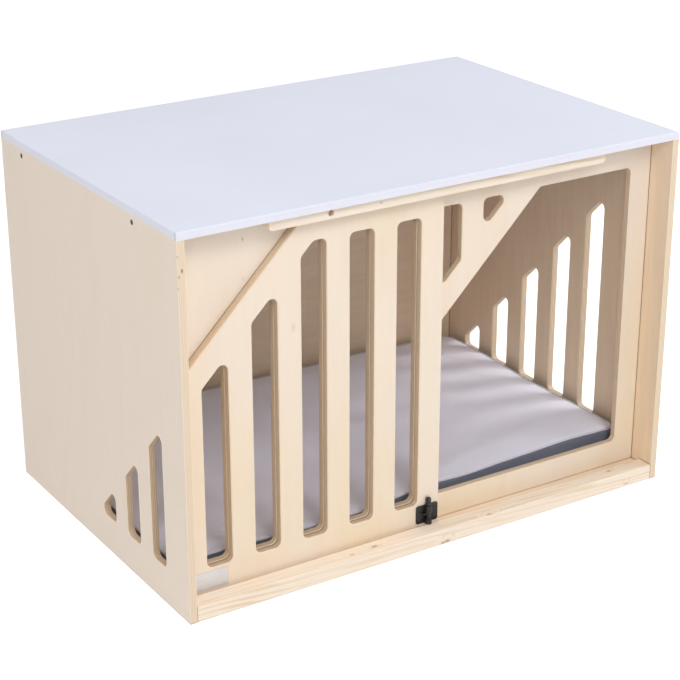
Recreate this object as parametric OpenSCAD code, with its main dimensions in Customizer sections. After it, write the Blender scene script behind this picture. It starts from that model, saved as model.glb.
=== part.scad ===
// Indoor dog crate in birch plywood: slotted panels, a sliding front door with an upright
// bolt, pine laths that guide the door, and a cushion on the floor.
// The front faces -Y, +X is to the right, and the crate stands on z = 0.

/* [Crate] */
// Outer width, left side panel to right side panel
crate_w = 900; // [860:10:980]
// Outer depth, front edges of the sides to the back
crate_d = 600; // [540:10:680]
// Outer height, ground to the upper face of the top board
crate_h = 610; // [580:10:660]
// Thickness of the plywood panels
ply_t = 12; // [10:0.5:14]
// Thickness of the white top board
top_t = 12; // [10:0.5:18]
// Bevel on the upper edges of the top board
top_break = 1; // [0.4:0.1:2]
// Joint gap at each end of a panel between the sides
panel_gap = 0.6; // [0.3:0.1:0.9]

/* [Slots] */
// Width of every slot
slot_w = 43.5; // [38:0.5:48]
// Distance from one slot to the next
slot_pitch = 84; // [78:1:92]
// Corner radius of the slots and the doorway
slot_r = 9.5; // [7:0.5:11]
// Distance from the left edge of the door to its first slot
slot_margin = 38; // [30:1:44]
// Small bevel on the edges of the slots
edge_break = 1.2; // [0.6:0.1:1.6]

/* [Front panel] */
// Depth of the channel between the bottom lath and the fixed front panel
channel_w = 20; // [17:0.5:21]
// Height of the rail under the slots and the doorway
front_sill = 42.5; // [34:0.5:50]
// Height of the rail over the slots and the doorway
front_head = 51; // [44:0.5:60]
// Width of the upright to the right of the doorway
front_stile = 40; // [32:0.5:46]
// Leg of the slanted corner of the doorway
doorway_cut = 193.9; // [170:0.1:210]
// Width of the slanted band between the slots and the doorway
front_band = 41.1; // [36:0.1:48]

/* [Door] */
// Reach of the door past the middle of the crate
door_lap = 19.5; // [12:0.5:24]
// Gap between the back of the door and the fixed panel
door_back_gap = 1; // [0.6:0.1:1.6]
// Gap between the door and the floor it runs on
door_foot_gap = 0.5; // [0.3:0.1:0.9]
// Gap between the door and the top board
door_head_gap = 1; // [0.6:0.1:2]
// Gap between the door and a side panel at the ends of its travel
door_end_gap = 0.8; // [0.5:0.1:1.5]
// Leg of the slanted top corner of the door
door_cut = 225; // [200:1:240]
// Height of the door's rail under its slots
door_sill = 41; // [34:0.5:50]
// Height of the door's rail over its slots
door_head = 54.5; // [46:0.5:60]
// Bevel on the long front edge of the slanted corner
door_break = 2.5; // [1:0.1:3]

/* [Side panels] */
// Distance from the front edge to the first slot row
side_slot_y = 72; // [66:0.1:80]
// Height of the rail under the side slots
side_sill = 61; // [50:1:66]
// Height at which the slanted line over the left slots meets the front edge
left_line_h = 360; // [330:1:380]
// Height at which the slanted line over the right slots meets the front edge
right_line_h = 617.5; // [580:0.5:620]

/* [Laths] */
// Depth of the bottom lath
low_lath_d = 29.5; // [26:0.5:32]
// Height of the bottom lath over the floor panel
low_lath_rise = 6.5; // [6.5:0.5:12]
// Rounding of the long edges of the bottom lath
lath_r = 1.5; // [0.5:0.1:3]
// Gap at each end of the bottom lath
low_lath_gap = 0.8; // [0.3:0.1:0.9]
// Side of the square section of the top lath
high_lath_s = 18; // [16:0.5:22]
// Length of the top lath
high_lath_l = 607; // [560:1:640]
// Distance from the left outer face to the top lath
high_lath_x = 152; // [120:1:170]
// Radius of the lower end corners of the top lath
high_lath_end_r = 6; // [2:0.5:9]
// Distance from the left end of the top lath to its drilled hole
lath_hole_x = 102.6; // [80:0.1:160]
// Diameter of the hole drilled in the front of the top lath
lath_hole_d = 10; // [6:0.5:12]
// Depth of the hole drilled in the front of the top lath
lath_hole_depth = 9; // [4:0.5:14]

/* [Floor] */
// Height of the skids under the floor
batten_h = 8; // [6:0.5:10]
// Width of the skids under the floor
batten_w = 30; // [24:1:40]
// Distance from each side panel to its skid
batten_inset = 3; // [1:0.5:12]
// Distance from the ends of the skids to the front and the back of the floor
batten_end = 10; // [4:1:30]

/* [Top cleats] */
// Side of the square section of the cleats under the top board
cleat_s = 22; // [20:1:26]
// Gap at each end of a cleat
cleat_gap = 0.5; // [0.3:0.1:0.9]

/* [Screws] */
// Shank diameter of the wood screws
screw_d = 4; // [3:0.1:4.5]
// Head diameter of the countersunk wood screws
screw_head_d = 8.5; // [7:0.1:10]
// Length of the side screws
side_screw_l = 30; // [25:1:32]
// Distance from the front edge to the front side screws
side_screw_front = 135; // [110:1:170]
// Distance from the back to the rear side screws
side_screw_back = 79; // [40:1:110]
// Depth that the top board screws reach into the board
board_screw_bite = 7; // [4:0.5:9]
// Distance from the front edge to the front top board screws
board_screw_front = 190; // [185:1:230]
// Distance from the back to the rear top board screws
board_screw_back = 140; // [125:1:180]
// Length of the floor screws
floor_screw_l = 17; // [14:0.5:18]
// Distance from the ends of a skid to its screws
floor_screw_end = 118; // [105:1:140]
// Gap around a screw or a dowel in its hole
hole_gap = 0.05; // [0.02:0.01:0.15]

/* [Dowels] */
// Diameter of the wooden dowels
dowel_d = 6; // [5:0.1:7]
// Depth of a dowel hole in the face of a panel
dowel_face_depth = 8; // [5:0.5:9]
// Depth of a dowel hole in the edge of a panel or in a lath
dowel_edge_depth = 15; // [10:0.5:15]
// Bevel on the ends of the dowels
dowel_break = 0.6; // [0.2:0.1:1]
// Space left at each end of a dowel
dowel_end_gap = 0.3; // [0.1:0.1:0.8]
// Distance from the sides to the outermost dowels of the floor
floor_dowel_end = 100; // [80:1:130]
// Distance from the front edge and the back to the outermost dowels in the sides
side_dowel_end = 115; // [100:1:130]
// Distance from the floor and from the top board to the outermost upright dowels
upright_dowel_end = 60; // [40:1:90]
// Distance from the ends of the top lath to its outermost dowels
lath_dowel_end = 60; // [40:1:75]

/* [Corner brackets] */
// Length of each leg of a corner bracket
bracket_leg = 26; // [24:1:28]
// Height of a corner bracket
bracket_h = 16; // [12:1:20]
// Thickness of the bracket steel
bracket_t = 2; // [1.5:0.1:2.5]
// Height of the middle of the lower brackets
bracket_low = 345; // [320:5:380]
// Distance from the cleats down to the middle of the upper brackets
bracket_drop = 30; // [15:1:60]
// Distance from the corner to the screw in each leg
bracket_screw_reach = 18; // [17.5:0.5:20]
// Length of the bracket screws under their heads
bracket_screw_l = 8; // [6:0.5:9]
// Shank diameter of the bracket screws
bracket_screw_d = 3.2; // [2.5:0.1:4]
// Head diameter of the bracket screws
bracket_head_d = 6.4; // [5:0.1:7]
// Head height of the bracket screws
bracket_head_h = 1.8; // [1.2:0.1:2.4]

/* [Latch] */
// Width of the latch plate
latch_w = 41; // [38:0.5:46]
// Height of the latch plate
latch_h = 31; // [28:0.5:36]
// Thickness of the latch plate and its straps
latch_t = 1.5; // [1:0.1:2]
// Corner radius of the latch plate
latch_r = 3.5; // [1:0.1:5]
// Distance from the right edge of the door to the latch plate
latch_inset = 1.6; // [0.5:0.1:6]
// Height of the latch plate over the bottom lath
latch_rise = 1.3; // [0.8:0.1:4]
// Height of the lower strap of the latch
strap_h = 8; // [6:0.5:9]
// Travel of the bolt, up and down
bolt_travel = 6.5; // [4:0.5:6.5]
// Diameter of the bolt
bolt_d = 8; // [6.5:0.1:8.4]
// Length of the bolt
bolt_l = 46; // [40:0.5:52]
// Bevel on the ends of the bolt
bolt_break = 1; // [0.4:0.1:1.6]
// Running gap of the bolt in its straps, on the radius
bolt_gap = 0.06; // [0.02:0.01:0.1]
// Height of the raised bolt over the bottom lath
bolt_lift = 0.3; // [0.2:0.1:1]
// Diameter of the knob in the side of the bolt
knob_d = 4; // [3:0.1:5]
// Reach of the knob from the middle of the bolt
knob_l = 9.5; // [7:0.5:10.5]
// Diameter of the knob's stem
knob_stem_d = 2.4; // [1.6:0.1:2.8]
// Depth of the stem's seat in the bolt
knob_seat = 2; // [1:0.1:3]
// Gap between the knob and the bolt
knob_stand = 0.6; // [0.3:0.1:1.2]
// Bevel on the end of the knob
knob_break = 0.6; // [0.2:0.1:1]
// Gap between the knob and a strap at each end of the bolt's travel
knob_end_gap = 0.25; // [0.1:0.05:0.5]
// Gap around the bolt in the notches of the bottom lath
notch_gap = 0.7; // [0.4:0.1:1]
// Depth of the notches below the lowest point of the bolt
notch_spare = 1; // [0.5:0.1:1.5]
// Shank diameter of the latch screws
latch_screw_d = 2.8; // [2:0.1:3.5]
// Head diameter of the latch screws
latch_head_d = 5.6; // [4.5:0.1:6]
// Head height of the latch screws
latch_head_h = 1.4; // [1:0.1:2]
// Length of the latch screws in the door
latch_screw_l = 8; // [5:0.5:9]
// Distance from the side edges of the plate to its screws
latch_screw_side = 6.3; // [3.5:0.1:6.6]
// Distance from the upper and lower edges of the plate to its screws
latch_screw_end = 6; // [3.5:0.1:8]

/* [Cushion] */
// Gap between the cushion and the panels around it
cushion_gap = 6; // [3:0.5:14]
// Height of the cushion's side band, floor to seam
cushion_band = 50; // [40:1:60]
// Rise of the cushion's top over its seam, in the middle
cushion_crown = 7; // [3:0.5:14]
// Depth that the cushion's sides draw in between the corners
cushion_draw = 4; // [1:0.5:8]
// Bulge of the cushion's side band between its seams
cushion_bulge = 0.4; // [0:0.1:2]
// Corner radius of the cushion, seen from above
cushion_r = 24; // [16:1:40]
// Rounding of the cushion's lower and upper edges
cushion_edge = 6; // [3:0.5:10]
// Thickness of the cushion's cover
cover_t = 2; // [1:0.1:3]
// Gap between the cover and the foam
core_gap = 0.3; // [0.2:0.1:0.8]

/* [Hidden] */
$fn = 48;

// Colours
birch = [0.90, 0.82, 0.70];
pine = [0.92, 0.80, 0.64];
white = [0.90, 0.91, 0.95];
zinc = [0.72, 0.73, 0.74];
black = [0.10, 0.10, 0.10];
dowel_wood = [0.85, 0.72, 0.52];
slate = [0.42, 0.44, 0.50];
foam = [0.93, 0.90, 0.78];

// How far a cutter reaches past the face it cuts
past = 0.5;

// Places that several pieces share, in crate coordinates: x from the left outer face,
// y from the front edges of the sides, z from the ground
side_h = crate_h - top_t;
inner_x0 = ply_t;
inner_x1 = crate_w - ply_t;
inner_w = inner_x1 - inner_x0;
panel_x0 = inner_x0 + panel_gap;
panel_w = inner_w - 2 * panel_gap;
floor_top = batten_h + ply_t;
low_lath_h = floor_top + low_lath_rise;
front_y = low_lath_d + channel_w;
front_back_y = front_y + ply_t;
front_mid_y = front_y + ply_t / 2;
back_y = crate_d - ply_t;
back_mid_y = back_y + ply_t / 2;
floor_back_y = back_y - panel_gap;

// Door
door_w = inner_w / 2 + door_lap;
door_x = inner_x0 + door_end_gap;
door_right = door_x + door_w;
door_travel = inner_w - door_w - 2 * door_end_gap;
door_z = floor_top + door_foot_gap;
door_top = side_h - door_head_gap;
door_back_y = front_y - door_back_gap;
door_front_y = door_back_y - ply_t;

// Slots of the door and the fixed front, which line up while the door is open. The slanted
// line over them is z = slot_line + x.
slot_web = slot_pitch - slot_w;
slot_x = [for (i = [0:floor(crate_w / slot_pitch)]) door_x + slot_margin + i * slot_pitch];
slot_line = door_top - door_cut - slot_web * sqrt(2) - door_x;
door_slots = [for (x = slot_x) if (x + slot_w + slot_web / 2 < door_right) x];

// Doorway, and the slots over its slanted corner
front_low = floor_top + front_sill;
front_top = side_h - front_head;
doorway_x1 = panel_x0 + panel_w - front_stile;
doorway_line = front_top - doorway_cut - door_right;
band_line = doorway_line + front_band * sqrt(2);
least_leg = 4 * slot_r;
upper_slots = [for (x = slot_x)
    if (x > door_right - slot_web / 2 && front_top - band_line - x > least_leg) x];

// Latch
latch_x = door_right - latch_inset - latch_w / 2;
latch_z = low_lath_h + latch_rise;
latch_face_y = door_front_y - latch_t;
strap_r = bolt_d / 2 + bolt_gap + latch_t;
bolt_y = latch_face_y - bolt_d / 2 - 2 * bolt_gap;
bolt_z = low_lath_h + bolt_lift;
window_z0 = latch_z + strap_h;
window_z1 = window_z0 + bolt_travel + knob_d + 2 * knob_end_gap;
knob_z = window_z1 - knob_end_gap - knob_d / 2;
notch_r = bolt_d / 2 + notch_gap;
notch_z = bolt_z - bolt_travel - notch_spare;

// Cleats, skids and the top lath
cleat_z = side_h - cleat_s;
cleat_y0 = front_back_y + cleat_gap;
cleat_y1 = back_y - cleat_gap;
cleat_x = [inner_x0, inner_x1 - cleat_s];
batten_x = [inner_x0 + batten_inset, (crate_w - batten_w) / 2, inner_x1 - batten_inset - batten_w];
batten_y0 = low_lath_d + batten_end;
batten_y1 = floor_back_y - batten_end;
high_lath_z = side_h - high_lath_s;
high_lath_y = low_lath_d - high_lath_s;

// Screws
cone_h = (screw_head_d - screw_d) / 2;
side_screw_y = [side_screw_front, crate_d - side_screw_back];
board_screw_y = [board_screw_front, crate_d - board_screw_back];
floor_screw_y = [batten_y0 + floor_screw_end, batten_y1 - floor_screw_end];
board_screw_l = cleat_s + board_screw_bite;

// Dowels
dowel_z = batten_h + ply_t / 2;
floor_dowel_x = spread(inner_x0 + floor_dowel_end, inner_x1 - floor_dowel_end, 4);
side_dowel_y = spread(side_dowel_end, crate_d - side_dowel_end, 3);
upright_dowel_z = spread(floor_top + upright_dowel_end, side_h - upright_dowel_end, 3);
lath_dowel_x = spread(high_lath_x + lath_dowel_end, high_lath_x + high_lath_l - lath_dowel_end, 3);

// Brackets
bracket_z = [bracket_low, cleat_z - bracket_drop];

// Cushion
cushion_x0 = inner_x0 + cushion_gap;
cushion_y0 = front_back_y + cushion_gap;
cushion_w = inner_w - 2 * cushion_gap;
cushion_d = back_y - cushion_gap - cushion_y0;

// Geometry helpers

// n places at even steps from a to b
function spread(a, b, n) = [for (i = [0:n - 1]) a + i * (b - a) / (n - 1)];

// Unit vector from a to b
function unit(a, b) = (b - a) / norm(b - a);

// Corner i of the outline p: the point and the unit vectors to its two neighbours
function corner(p, i) =
    let (n = len(p), j = i % n)
    [p[j], unit(p[j], p[(j + n - 1) % n]), unit(p[j], p[(j + 1) % n])];

// Centre of the arc of radius r that rounds corner i
function arc_centre(p, i, r) =
    let (c = corner(p, i), half = acos(c[1] * c[2]) / 2)
    c[0] + (c[1] + c[2]) / norm(c[1] + c[2]) * r / sin(half);

// Points where that arc meets the two sides of the corner
function arc_ends(p, i, r) =
    let (c = corner(p, i), reach = r / tan(acos(c[1] * c[2]) / 2))
    [c[0] + c[1] * reach, c[0] + c[2] * reach];

// Convex outline, counter-clockwise, with its corners rounded by true arcs
module rounded_outline(p, r) {
    polygon([for (i = [0:len(p) - 1]) each arc_ends(p, i, r)]);
    for (i = [0:len(p) - 1])
        translate(arc_centre(p, i, r)) circle(r);
}

// Bevel cutter of size c along the straight edge from a to b of a face at z = 0, with the
// material under the face and to the right of the edge
module edge_bevel(a, b, c) {
    turn = atan2(b[1] - a[1], b[0] - a[0]);
    translate(a) rotate([0, 0, turn]) rotate([90, 0, 90])
        linear_extrude(norm(b - a))
            polygon([[-c - past, past], [past, -c - past], [past, past]]);
}

// The bevelled mouth of a slot on the face at height h
module slot_mouth(p, h) {
    translate([0, 0, h]) for (i = [0:len(p) - 1]) {
        edge_bevel(arc_ends(p, i, slot_r)[1], arc_ends(p, i + 1, slot_r)[0], edge_break);
        translate(concat(arc_centre(p, i, slot_r), -edge_break - past))
            cylinder(h=edge_break + 2 * past, r1=slot_r - past, r2=slot_r + edge_break + past);
    }
}

// Cutter for a slot through a panel, with bevelled edges on both faces
module slot_cutter(p) {
    translate([0, 0, -past]) linear_extrude(ply_t + 2 * past) rounded_outline(p, slot_r);
    slot_mouth(p, ply_t);
    mirror([0, 0, 1]) slot_mouth(p, 0);
}

// Outline of an upright slot from x, between z0 and z1, cut off by the line z = line + x
function slot_under(x, z0, z1, line) =
    let (zl = line + x, zr = zl + slot_w, right = x + slot_w, foot = [[x, z0], [right, z0]])
    zl > z1 - slot_r * 0.6 ? concat(foot, [[right, z1], [x, z1]]) :
    zr < z1 ? concat(foot, [[right, zr], [x, zl]]) :
    slot_w - z1 + zl > slot_r * 1.45 ? concat(foot, [[right, z1], [x + z1 - zl, z1], [x, zl]]) :
    concat(foot, [[right, z1], [x, zl]]);

// Outline of an upright slot from x up to z1, over the line z = line + x
function slot_over(x, z1, line) =
    let (zl = line + x, zr = zl + slot_w, right = x + slot_w)
    zr < z1 - 2 * slot_r ? [[x, zl], [right, zr], [right, z1], [x, z1]] :
    [[x, zl], [x + z1 - zl, z1], [x, z1]];

// Stands a flat panel up with its drawn face to the front and its back at y
module facing_front(y) {
    translate([0, y, 0]) rotate([90, 0, 0]) children();
}

// Stands a flat panel up across x, with its drawn x along y
module facing_side(x) {
    translate([x, 0, 0]) rotate([90, 0, 90]) children();
}

// Moves crate coordinates to the frame of the part
module placed() {
    translate([-crate_w / 2, -crate_d / 2, 0]) children();
}

// Rectangle with rounded corners
module rounded_square(w, h, r) {
    rounded_outline([[0, 0], [w, 0], [w, h], [0, h]], r);
}

// Fasteners and their holes, each along +z from the face that its hole starts in

// Countersunk wood screw of length l with its head flush
module wood_screw(l) {
    cylinder(h=l - screw_d / 2, d=screw_d);
    translate([0, 0, l - screw_d / 2]) cylinder(h=screw_d / 2, d1=screw_d, d2=screw_d / 4);
    cylinder(h=cone_h, d1=screw_head_d, d2=screw_d);
}

// Hole for that screw, with its countersink
module wood_screw_hole(l) {
    flare = hole_gap + past;
    translate([0, 0, -past]) {
        cylinder(h=l + past + hole_gap, d=screw_d + 2 * hole_gap);
        cylinder(h=cone_h + flare, d1=screw_head_d + 2 * flare, d2=screw_d);
    }
}

// Round headed screw with its head outside the face
module round_screw(d, head_d, head_h, l) {
    cap_r = (head_d * head_d / 4 + head_h * head_h) / (2 * head_h);
    cylinder(h=l - d / 2, d=d);
    translate([0, 0, l - d / 2]) cylinder(h=d / 2, d1=d, d2=d / 4);
    rotate([180, 0, 0]) rotate_extrude() intersection() {
        translate([0, head_h - cap_r]) circle(cap_r);
        square([head_d / 2, head_h]);
    }
}

// Hole for a round headed screw
module pilot_hole(d, l) {
    translate([0, 0, -past]) cylinder(h=l + past + hole_gap, d=d + 2 * hole_gap);
}

// Dowel that reaches from below to above z = 0
module dowel(below, above) {
    low = dowel_end_gap - below;
    high = above - dowel_end_gap;
    tip = dowel_d - 2 * dowel_break;
    translate([0, 0, low]) cylinder(h=dowel_break, d1=tip, d2=dowel_d);
    translate([0, 0, low + dowel_break]) cylinder(h=high - low - 2 * dowel_break, d=dowel_d);
    translate([0, 0, high - dowel_break]) cylinder(h=dowel_break, d1=dowel_d, d2=tip);
}

// Blind hole for a dowel
module dowel_hole(depth) {
    translate([0, 0, -past]) cylinder(h=depth + past, d=dowel_d + 2 * hole_gap);
}

// The same hole on the other side of z = 0
module dowel_hole_back(depth) {
    mirror([0, 0, 1]) dowel_hole(depth);
}

// Places of the fasteners. Side 0 is the left one and side 1 the right one.

// Turns +z to point from a side panel into the crate
module inwards(side) {
    rotate([0, side == 0 ? 90 : -90, 0]) children();
}

// Side screws, from the outer faces
module at_side_screws(side) {
    for (y = side_screw_y)
        translate([side * crate_w, y, side_h - cleat_s / 2]) inwards(side) children();
}

// Top board screws, from the underside of a cleat
module at_board_screws(side) {
    for (y = board_screw_y)
        translate([cleat_x[side] + cleat_s / 2, y, cleat_z]) children();
}

// Floor screws of skid i, from the floor downwards
module at_floor_screws(i) {
    for (y = floor_screw_y)
        translate([batten_x[i] + batten_w / 2, y, floor_top]) rotate([180, 0, 0]) children();
}

// Dowels between a side panel and the floor
module at_floor_side_dowels(side) {
    for (y = side_dowel_y)
        translate([side == 0 ? inner_x0 : inner_x1, y, dowel_z]) inwards(side) children();
}

// Dowels between a side panel and an upright panel whose middle is at y
module at_upright_dowels(side, y) {
    for (z = upright_dowel_z)
        translate([side == 0 ? inner_x0 : inner_x1, y, z]) inwards(side) children();
}

// Dowels between the bottom lath and the floor
module at_lath_dowels() {
    for (x = floor_dowel_x)
        translate([x, low_lath_d, dowel_z]) rotate([-90, 0, 0]) children();
}

// Dowels between the back panel and the floor
module at_back_dowels() {
    for (x = floor_dowel_x)
        translate([x, back_y, dowel_z]) rotate([90, 0, 0]) children();
}

// Dowels between the top board and the top lath
module at_top_lath_dowels() {
    for (x = lath_dowel_x)
        translate([x, high_lath_y + high_lath_s / 2, side_h]) rotate([180, 0, 0]) children();
}

// Corner brackets, each with its corner at the origin and its legs along +x and +y
module at_brackets() {
    for (z = bracket_z) {
        translate([inner_x0, front_back_y, z]) children();
        translate([inner_x1, front_back_y, z]) mirror([1, 0, 0]) children();
        translate([inner_x0, back_y, z]) mirror([0, 1, 0]) children();
        translate([inner_x1, back_y, z]) mirror([1, 0, 0]) mirror([0, 1, 0]) children();
    }
}

// The two screws of a bracket, each from its leg into the panel
module at_bracket_screws() {
    translate([bracket_t, bracket_screw_reach, 0]) rotate([0, -90, 0]) children();
    translate([bracket_screw_reach, bracket_t, 0]) rotate([90, 0, 0]) children();
}

// Latch screws, from the face of the plate into the door
module at_latch_screws() {
    dx = latch_w / 2 - latch_screw_side;
    dz = latch_h / 2 - latch_screw_end;
    for (sx = [-1, 1], sz = [-1, 1])
        translate([latch_x + sx * dx, latch_face_y, latch_z + latch_h / 2 + sz * dz])
            rotate([-90, 0, 0]) children();
}

// Panels

// Outline of the top board from one side, with its upper edges bevelled
module top_profile(l) {
    low = top_t - top_break;
    polygon([[0, 0], [l, 0], [l, low], [l - top_break, top_t], [top_break, top_t], [0, low]]);
}

module top_board() {
    color(white) placed() difference() {
        translate([0, 0, side_h]) intersection() {
            translate([0, crate_d, 0]) rotate([90, 0, 0]) linear_extrude(crate_d) top_profile(crate_w);
            rotate([90, 0, 90]) linear_extrude(crate_w) top_profile(crate_d);
        }
        for (side = [0, 1]) at_board_screws(side) wood_screw_hole(board_screw_l);
        at_top_lath_dowels() dowel_hole_back(dowel_face_depth);
    }
}

// Places of the side slots from row first on that leave room for their low corner
function side_slots(line_h, first) =
    [for (i = [first:floor(crate_d / slot_pitch)])
        let (y = side_slot_y + i * slot_pitch, end = y + slot_w)
        if (line_h - end > side_sill + 1.5 * slot_r && end < back_y - bracket_leg) y];

// Side panel whose slots start with row first and end under the slanted line
module side_panel(side, first, line_h) {
    difference() {
        facing_side(side * (crate_w - ply_t)) difference() {
            linear_extrude(ply_t) square([crate_d, side_h]);
            for (y = side_slots(line_h, first))
                slot_cutter([
                    [y, side_sill],
                    [y + slot_w, side_sill],
                    [y + slot_w, line_h - y - slot_w],
                    [y, line_h - y]
                ]);
        }
        at_side_screws(side) wood_screw_hole(side_screw_l);
        at_floor_side_dowels(side) dowel_hole_back(dowel_face_depth);
        for (y = [front_mid_y, back_mid_y])
            at_upright_dowels(side, y) dowel_hole_back(dowel_face_depth);
        bracket_holes();
    }
}

// Pilot holes of all bracket screws
module bracket_holes() {
    at_brackets() at_bracket_screws() pilot_hole(bracket_screw_d, bracket_screw_l);
}

module left_side_panel() {
    color(birch) placed() side_panel(0, 0, left_line_h);
}

module right_side_panel() {
    color(birch) placed() side_panel(1, 1, right_line_h);
}

module back_panel() {
    color(birch) placed() difference() {
        translate([panel_x0, back_y, 0]) cube([panel_w, ply_t, side_h]);
        for (side = [0, 1]) at_upright_dowels(side, back_mid_y) dowel_hole(dowel_edge_depth);
        at_back_dowels() dowel_hole_back(dowel_face_depth);
        bracket_holes();
    }
}

module floor_panel() {
    color(birch) placed() difference() {
        translate([panel_x0, low_lath_d, batten_h]) cube([panel_w, floor_back_y - low_lath_d, ply_t]);
        for (side = [0, 1]) at_floor_side_dowels(side) dowel_hole(dowel_edge_depth);
        at_lath_dowels() dowel_hole(dowel_edge_depth);
        at_back_dowels() dowel_hole(dowel_edge_depth);
        for (i = [0:2]) at_floor_screws(i) wood_screw_hole(floor_screw_l);
    }
}

module front_panel() {
    color(birch) placed() difference() {
        facing_front(front_back_y) difference() {
            translate([panel_x0, floor_top]) linear_extrude(ply_t) square([panel_w, side_h - floor_top]);
            for (x = door_slots) slot_cutter(slot_under(x, front_low, front_top, slot_line));
            for (x = upper_slots) slot_cutter(slot_over(x, front_top, band_line));
            slot_cutter([
                [door_right, front_low],
                [doorway_x1, front_low],
                [doorway_x1, front_top],
                [door_right + doorway_cut, front_top],
                [door_right, front_top - doorway_cut]
            ]);
        }
        for (side = [0, 1]) at_upright_dowels(side, front_mid_y) dowel_hole(dowel_edge_depth);
        bracket_holes();
    }
}

module sliding_door() {
    outline = [
        [door_x, door_z],
        [door_right, door_z],
        [door_right, door_top],
        [door_x + door_cut, door_top],
        [door_x, door_top - door_cut]
    ];
    color(birch) placed() difference() {
        facing_front(door_back_y) difference() {
            linear_extrude(ply_t) polygon(outline);
            for (x = door_slots)
                slot_cutter(slot_under(x, door_z + door_sill, door_top - door_head, slot_line));
            translate([0, 0, ply_t]) edge_bevel(outline[4], outline[3], door_break);
        }
        at_latch_screws() pilot_hole(latch_screw_d, latch_t + latch_screw_l);
    }
}

// Laths, cleats and skids

module bottom_lath() {
    color(pine) placed() difference() {
        translate([inner_x0 + low_lath_gap, 0, 0]) rotate([90, 0, 90])
            linear_extrude(inner_w - 2 * low_lath_gap) rounded_square(low_lath_d, low_lath_h, lath_r);
        for (dx = [0, door_travel])
            translate([latch_x + dx, bolt_y, notch_z]) cylinder(h=low_lath_h, r=notch_r);
        at_lath_dowels() dowel_hole_back(dowel_edge_depth);
    }
}

// Outline of the top lath, with its lower end corners rounded
module top_lath_outline() {
    r = high_lath_end_r;
    translate([0, r]) square([high_lath_l, high_lath_s - r]);
    translate([r, 0]) square([high_lath_l - 2 * r, high_lath_s]);
    for (x = [r, high_lath_l - r])
        translate([x, r]) circle(r);
}

module top_lath() {
    color(pine) placed() difference() {
        translate([high_lath_x, 0, high_lath_z]) facing_front(low_lath_d)
            linear_extrude(high_lath_s) top_lath_outline();
        translate([high_lath_x + lath_hole_x, high_lath_y - past, high_lath_z + high_lath_s / 2])
            rotate([-90, 0, 0]) cylinder(h=lath_hole_depth + past, d=lath_hole_d);
        at_top_lath_dowels() dowel_hole(dowel_edge_depth);
    }
}

module top_cleat(side) {
    color(pine) placed() difference() {
        translate([cleat_x[side], cleat_y0, cleat_z]) cube([cleat_s, cleat_y1 - cleat_y0, cleat_s]);
        at_side_screws(side) wood_screw_hole(side_screw_l);
        at_board_screws(side) wood_screw_hole(board_screw_l);
    }
}

module left_top_cleat() { top_cleat(0); }

module right_top_cleat() { top_cleat(1); }

module floor_batten(i) {
    color(pine) placed() difference() {
        translate([batten_x[i], batten_y0, 0]) cube([batten_w, batten_y1 - batten_y0, batten_h]);
        at_floor_screws(i) wood_screw_hole(floor_screw_l);
    }
}

module left_floor_batten() { floor_batten(0); }

module middle_floor_batten() { floor_batten(1); }

module right_floor_batten() { floor_batten(2); }

// Screws, dowels and brackets

module side_screws() {
    color(zinc) placed() for (side = [0, 1]) at_side_screws(side) wood_screw(side_screw_l);
}

module top_board_screws() {
    color(zinc) placed() for (side = [0, 1]) at_board_screws(side) wood_screw(board_screw_l);
}

module floor_screws() {
    color(zinc) placed() for (i = [0:2]) at_floor_screws(i) wood_screw(floor_screw_l);
}

module floor_dowels() {
    color(dowel_wood) placed() {
        for (side = [0, 1]) at_floor_side_dowels(side) dowel(dowel_face_depth, dowel_edge_depth);
        at_lath_dowels() dowel(dowel_edge_depth, dowel_edge_depth);
        at_back_dowels() dowel(dowel_face_depth, dowel_edge_depth);
    }
}

module front_panel_dowels() {
    color(dowel_wood) placed() for (side = [0, 1])
        at_upright_dowels(side, front_mid_y) dowel(dowel_face_depth, dowel_edge_depth);
}

module back_panel_dowels() {
    color(dowel_wood) placed() for (side = [0, 1])
        at_upright_dowels(side, back_mid_y) dowel(dowel_face_depth, dowel_edge_depth);
}

module top_lath_dowels() {
    color(dowel_wood) placed() at_top_lath_dowels() dowel(dowel_face_depth, dowel_edge_depth);
}

// Steel angle with a round inner bend
module bracket() {
    difference() {
        translate([0, 0, -bracket_h / 2]) linear_extrude(bracket_h) {
            square([bracket_leg, bracket_t]);
            square([bracket_t, bracket_leg]);
            difference() {
                square(2 * bracket_t);
                translate([2 * bracket_t, 2 * bracket_t]) circle(bracket_t);
            }
        }
        at_bracket_screws() pilot_hole(bracket_screw_d, bracket_t);
    }
}

module corner_brackets() {
    color(zinc) placed() at_brackets() bracket();
}

module bracket_screws() {
    color(zinc) placed() at_brackets() at_bracket_screws()
        round_screw(bracket_screw_d, bracket_head_d, bracket_head_h, bracket_screw_l);
}

// Latch

// One strap of the latch, bent round the bolt, from height z
module strap(z, h) {
    translate([latch_x, bolt_y, z]) {
        cylinder(h=h, r=strap_r);
        translate([-strap_r, 0, 0]) cube([2 * strap_r, latch_face_y - bolt_y + latch_t / 2, h]);
    }
}

module latch_plate() {
    color(black) placed() difference() {
        union() {
            translate([latch_x - latch_w / 2, 0, latch_z]) facing_front(door_front_y)
                linear_extrude(latch_t) rounded_square(latch_w, latch_h, latch_r);
            strap(latch_z, strap_h);
            strap(window_z1, latch_z + latch_h - window_z1);
        }
        translate([latch_x, bolt_y, latch_z - past])
            cylinder(h=latch_h + 2 * past, r=bolt_d / 2 + bolt_gap);
        at_latch_screws() pilot_hole(latch_screw_d, latch_t);
    }
}

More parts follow.
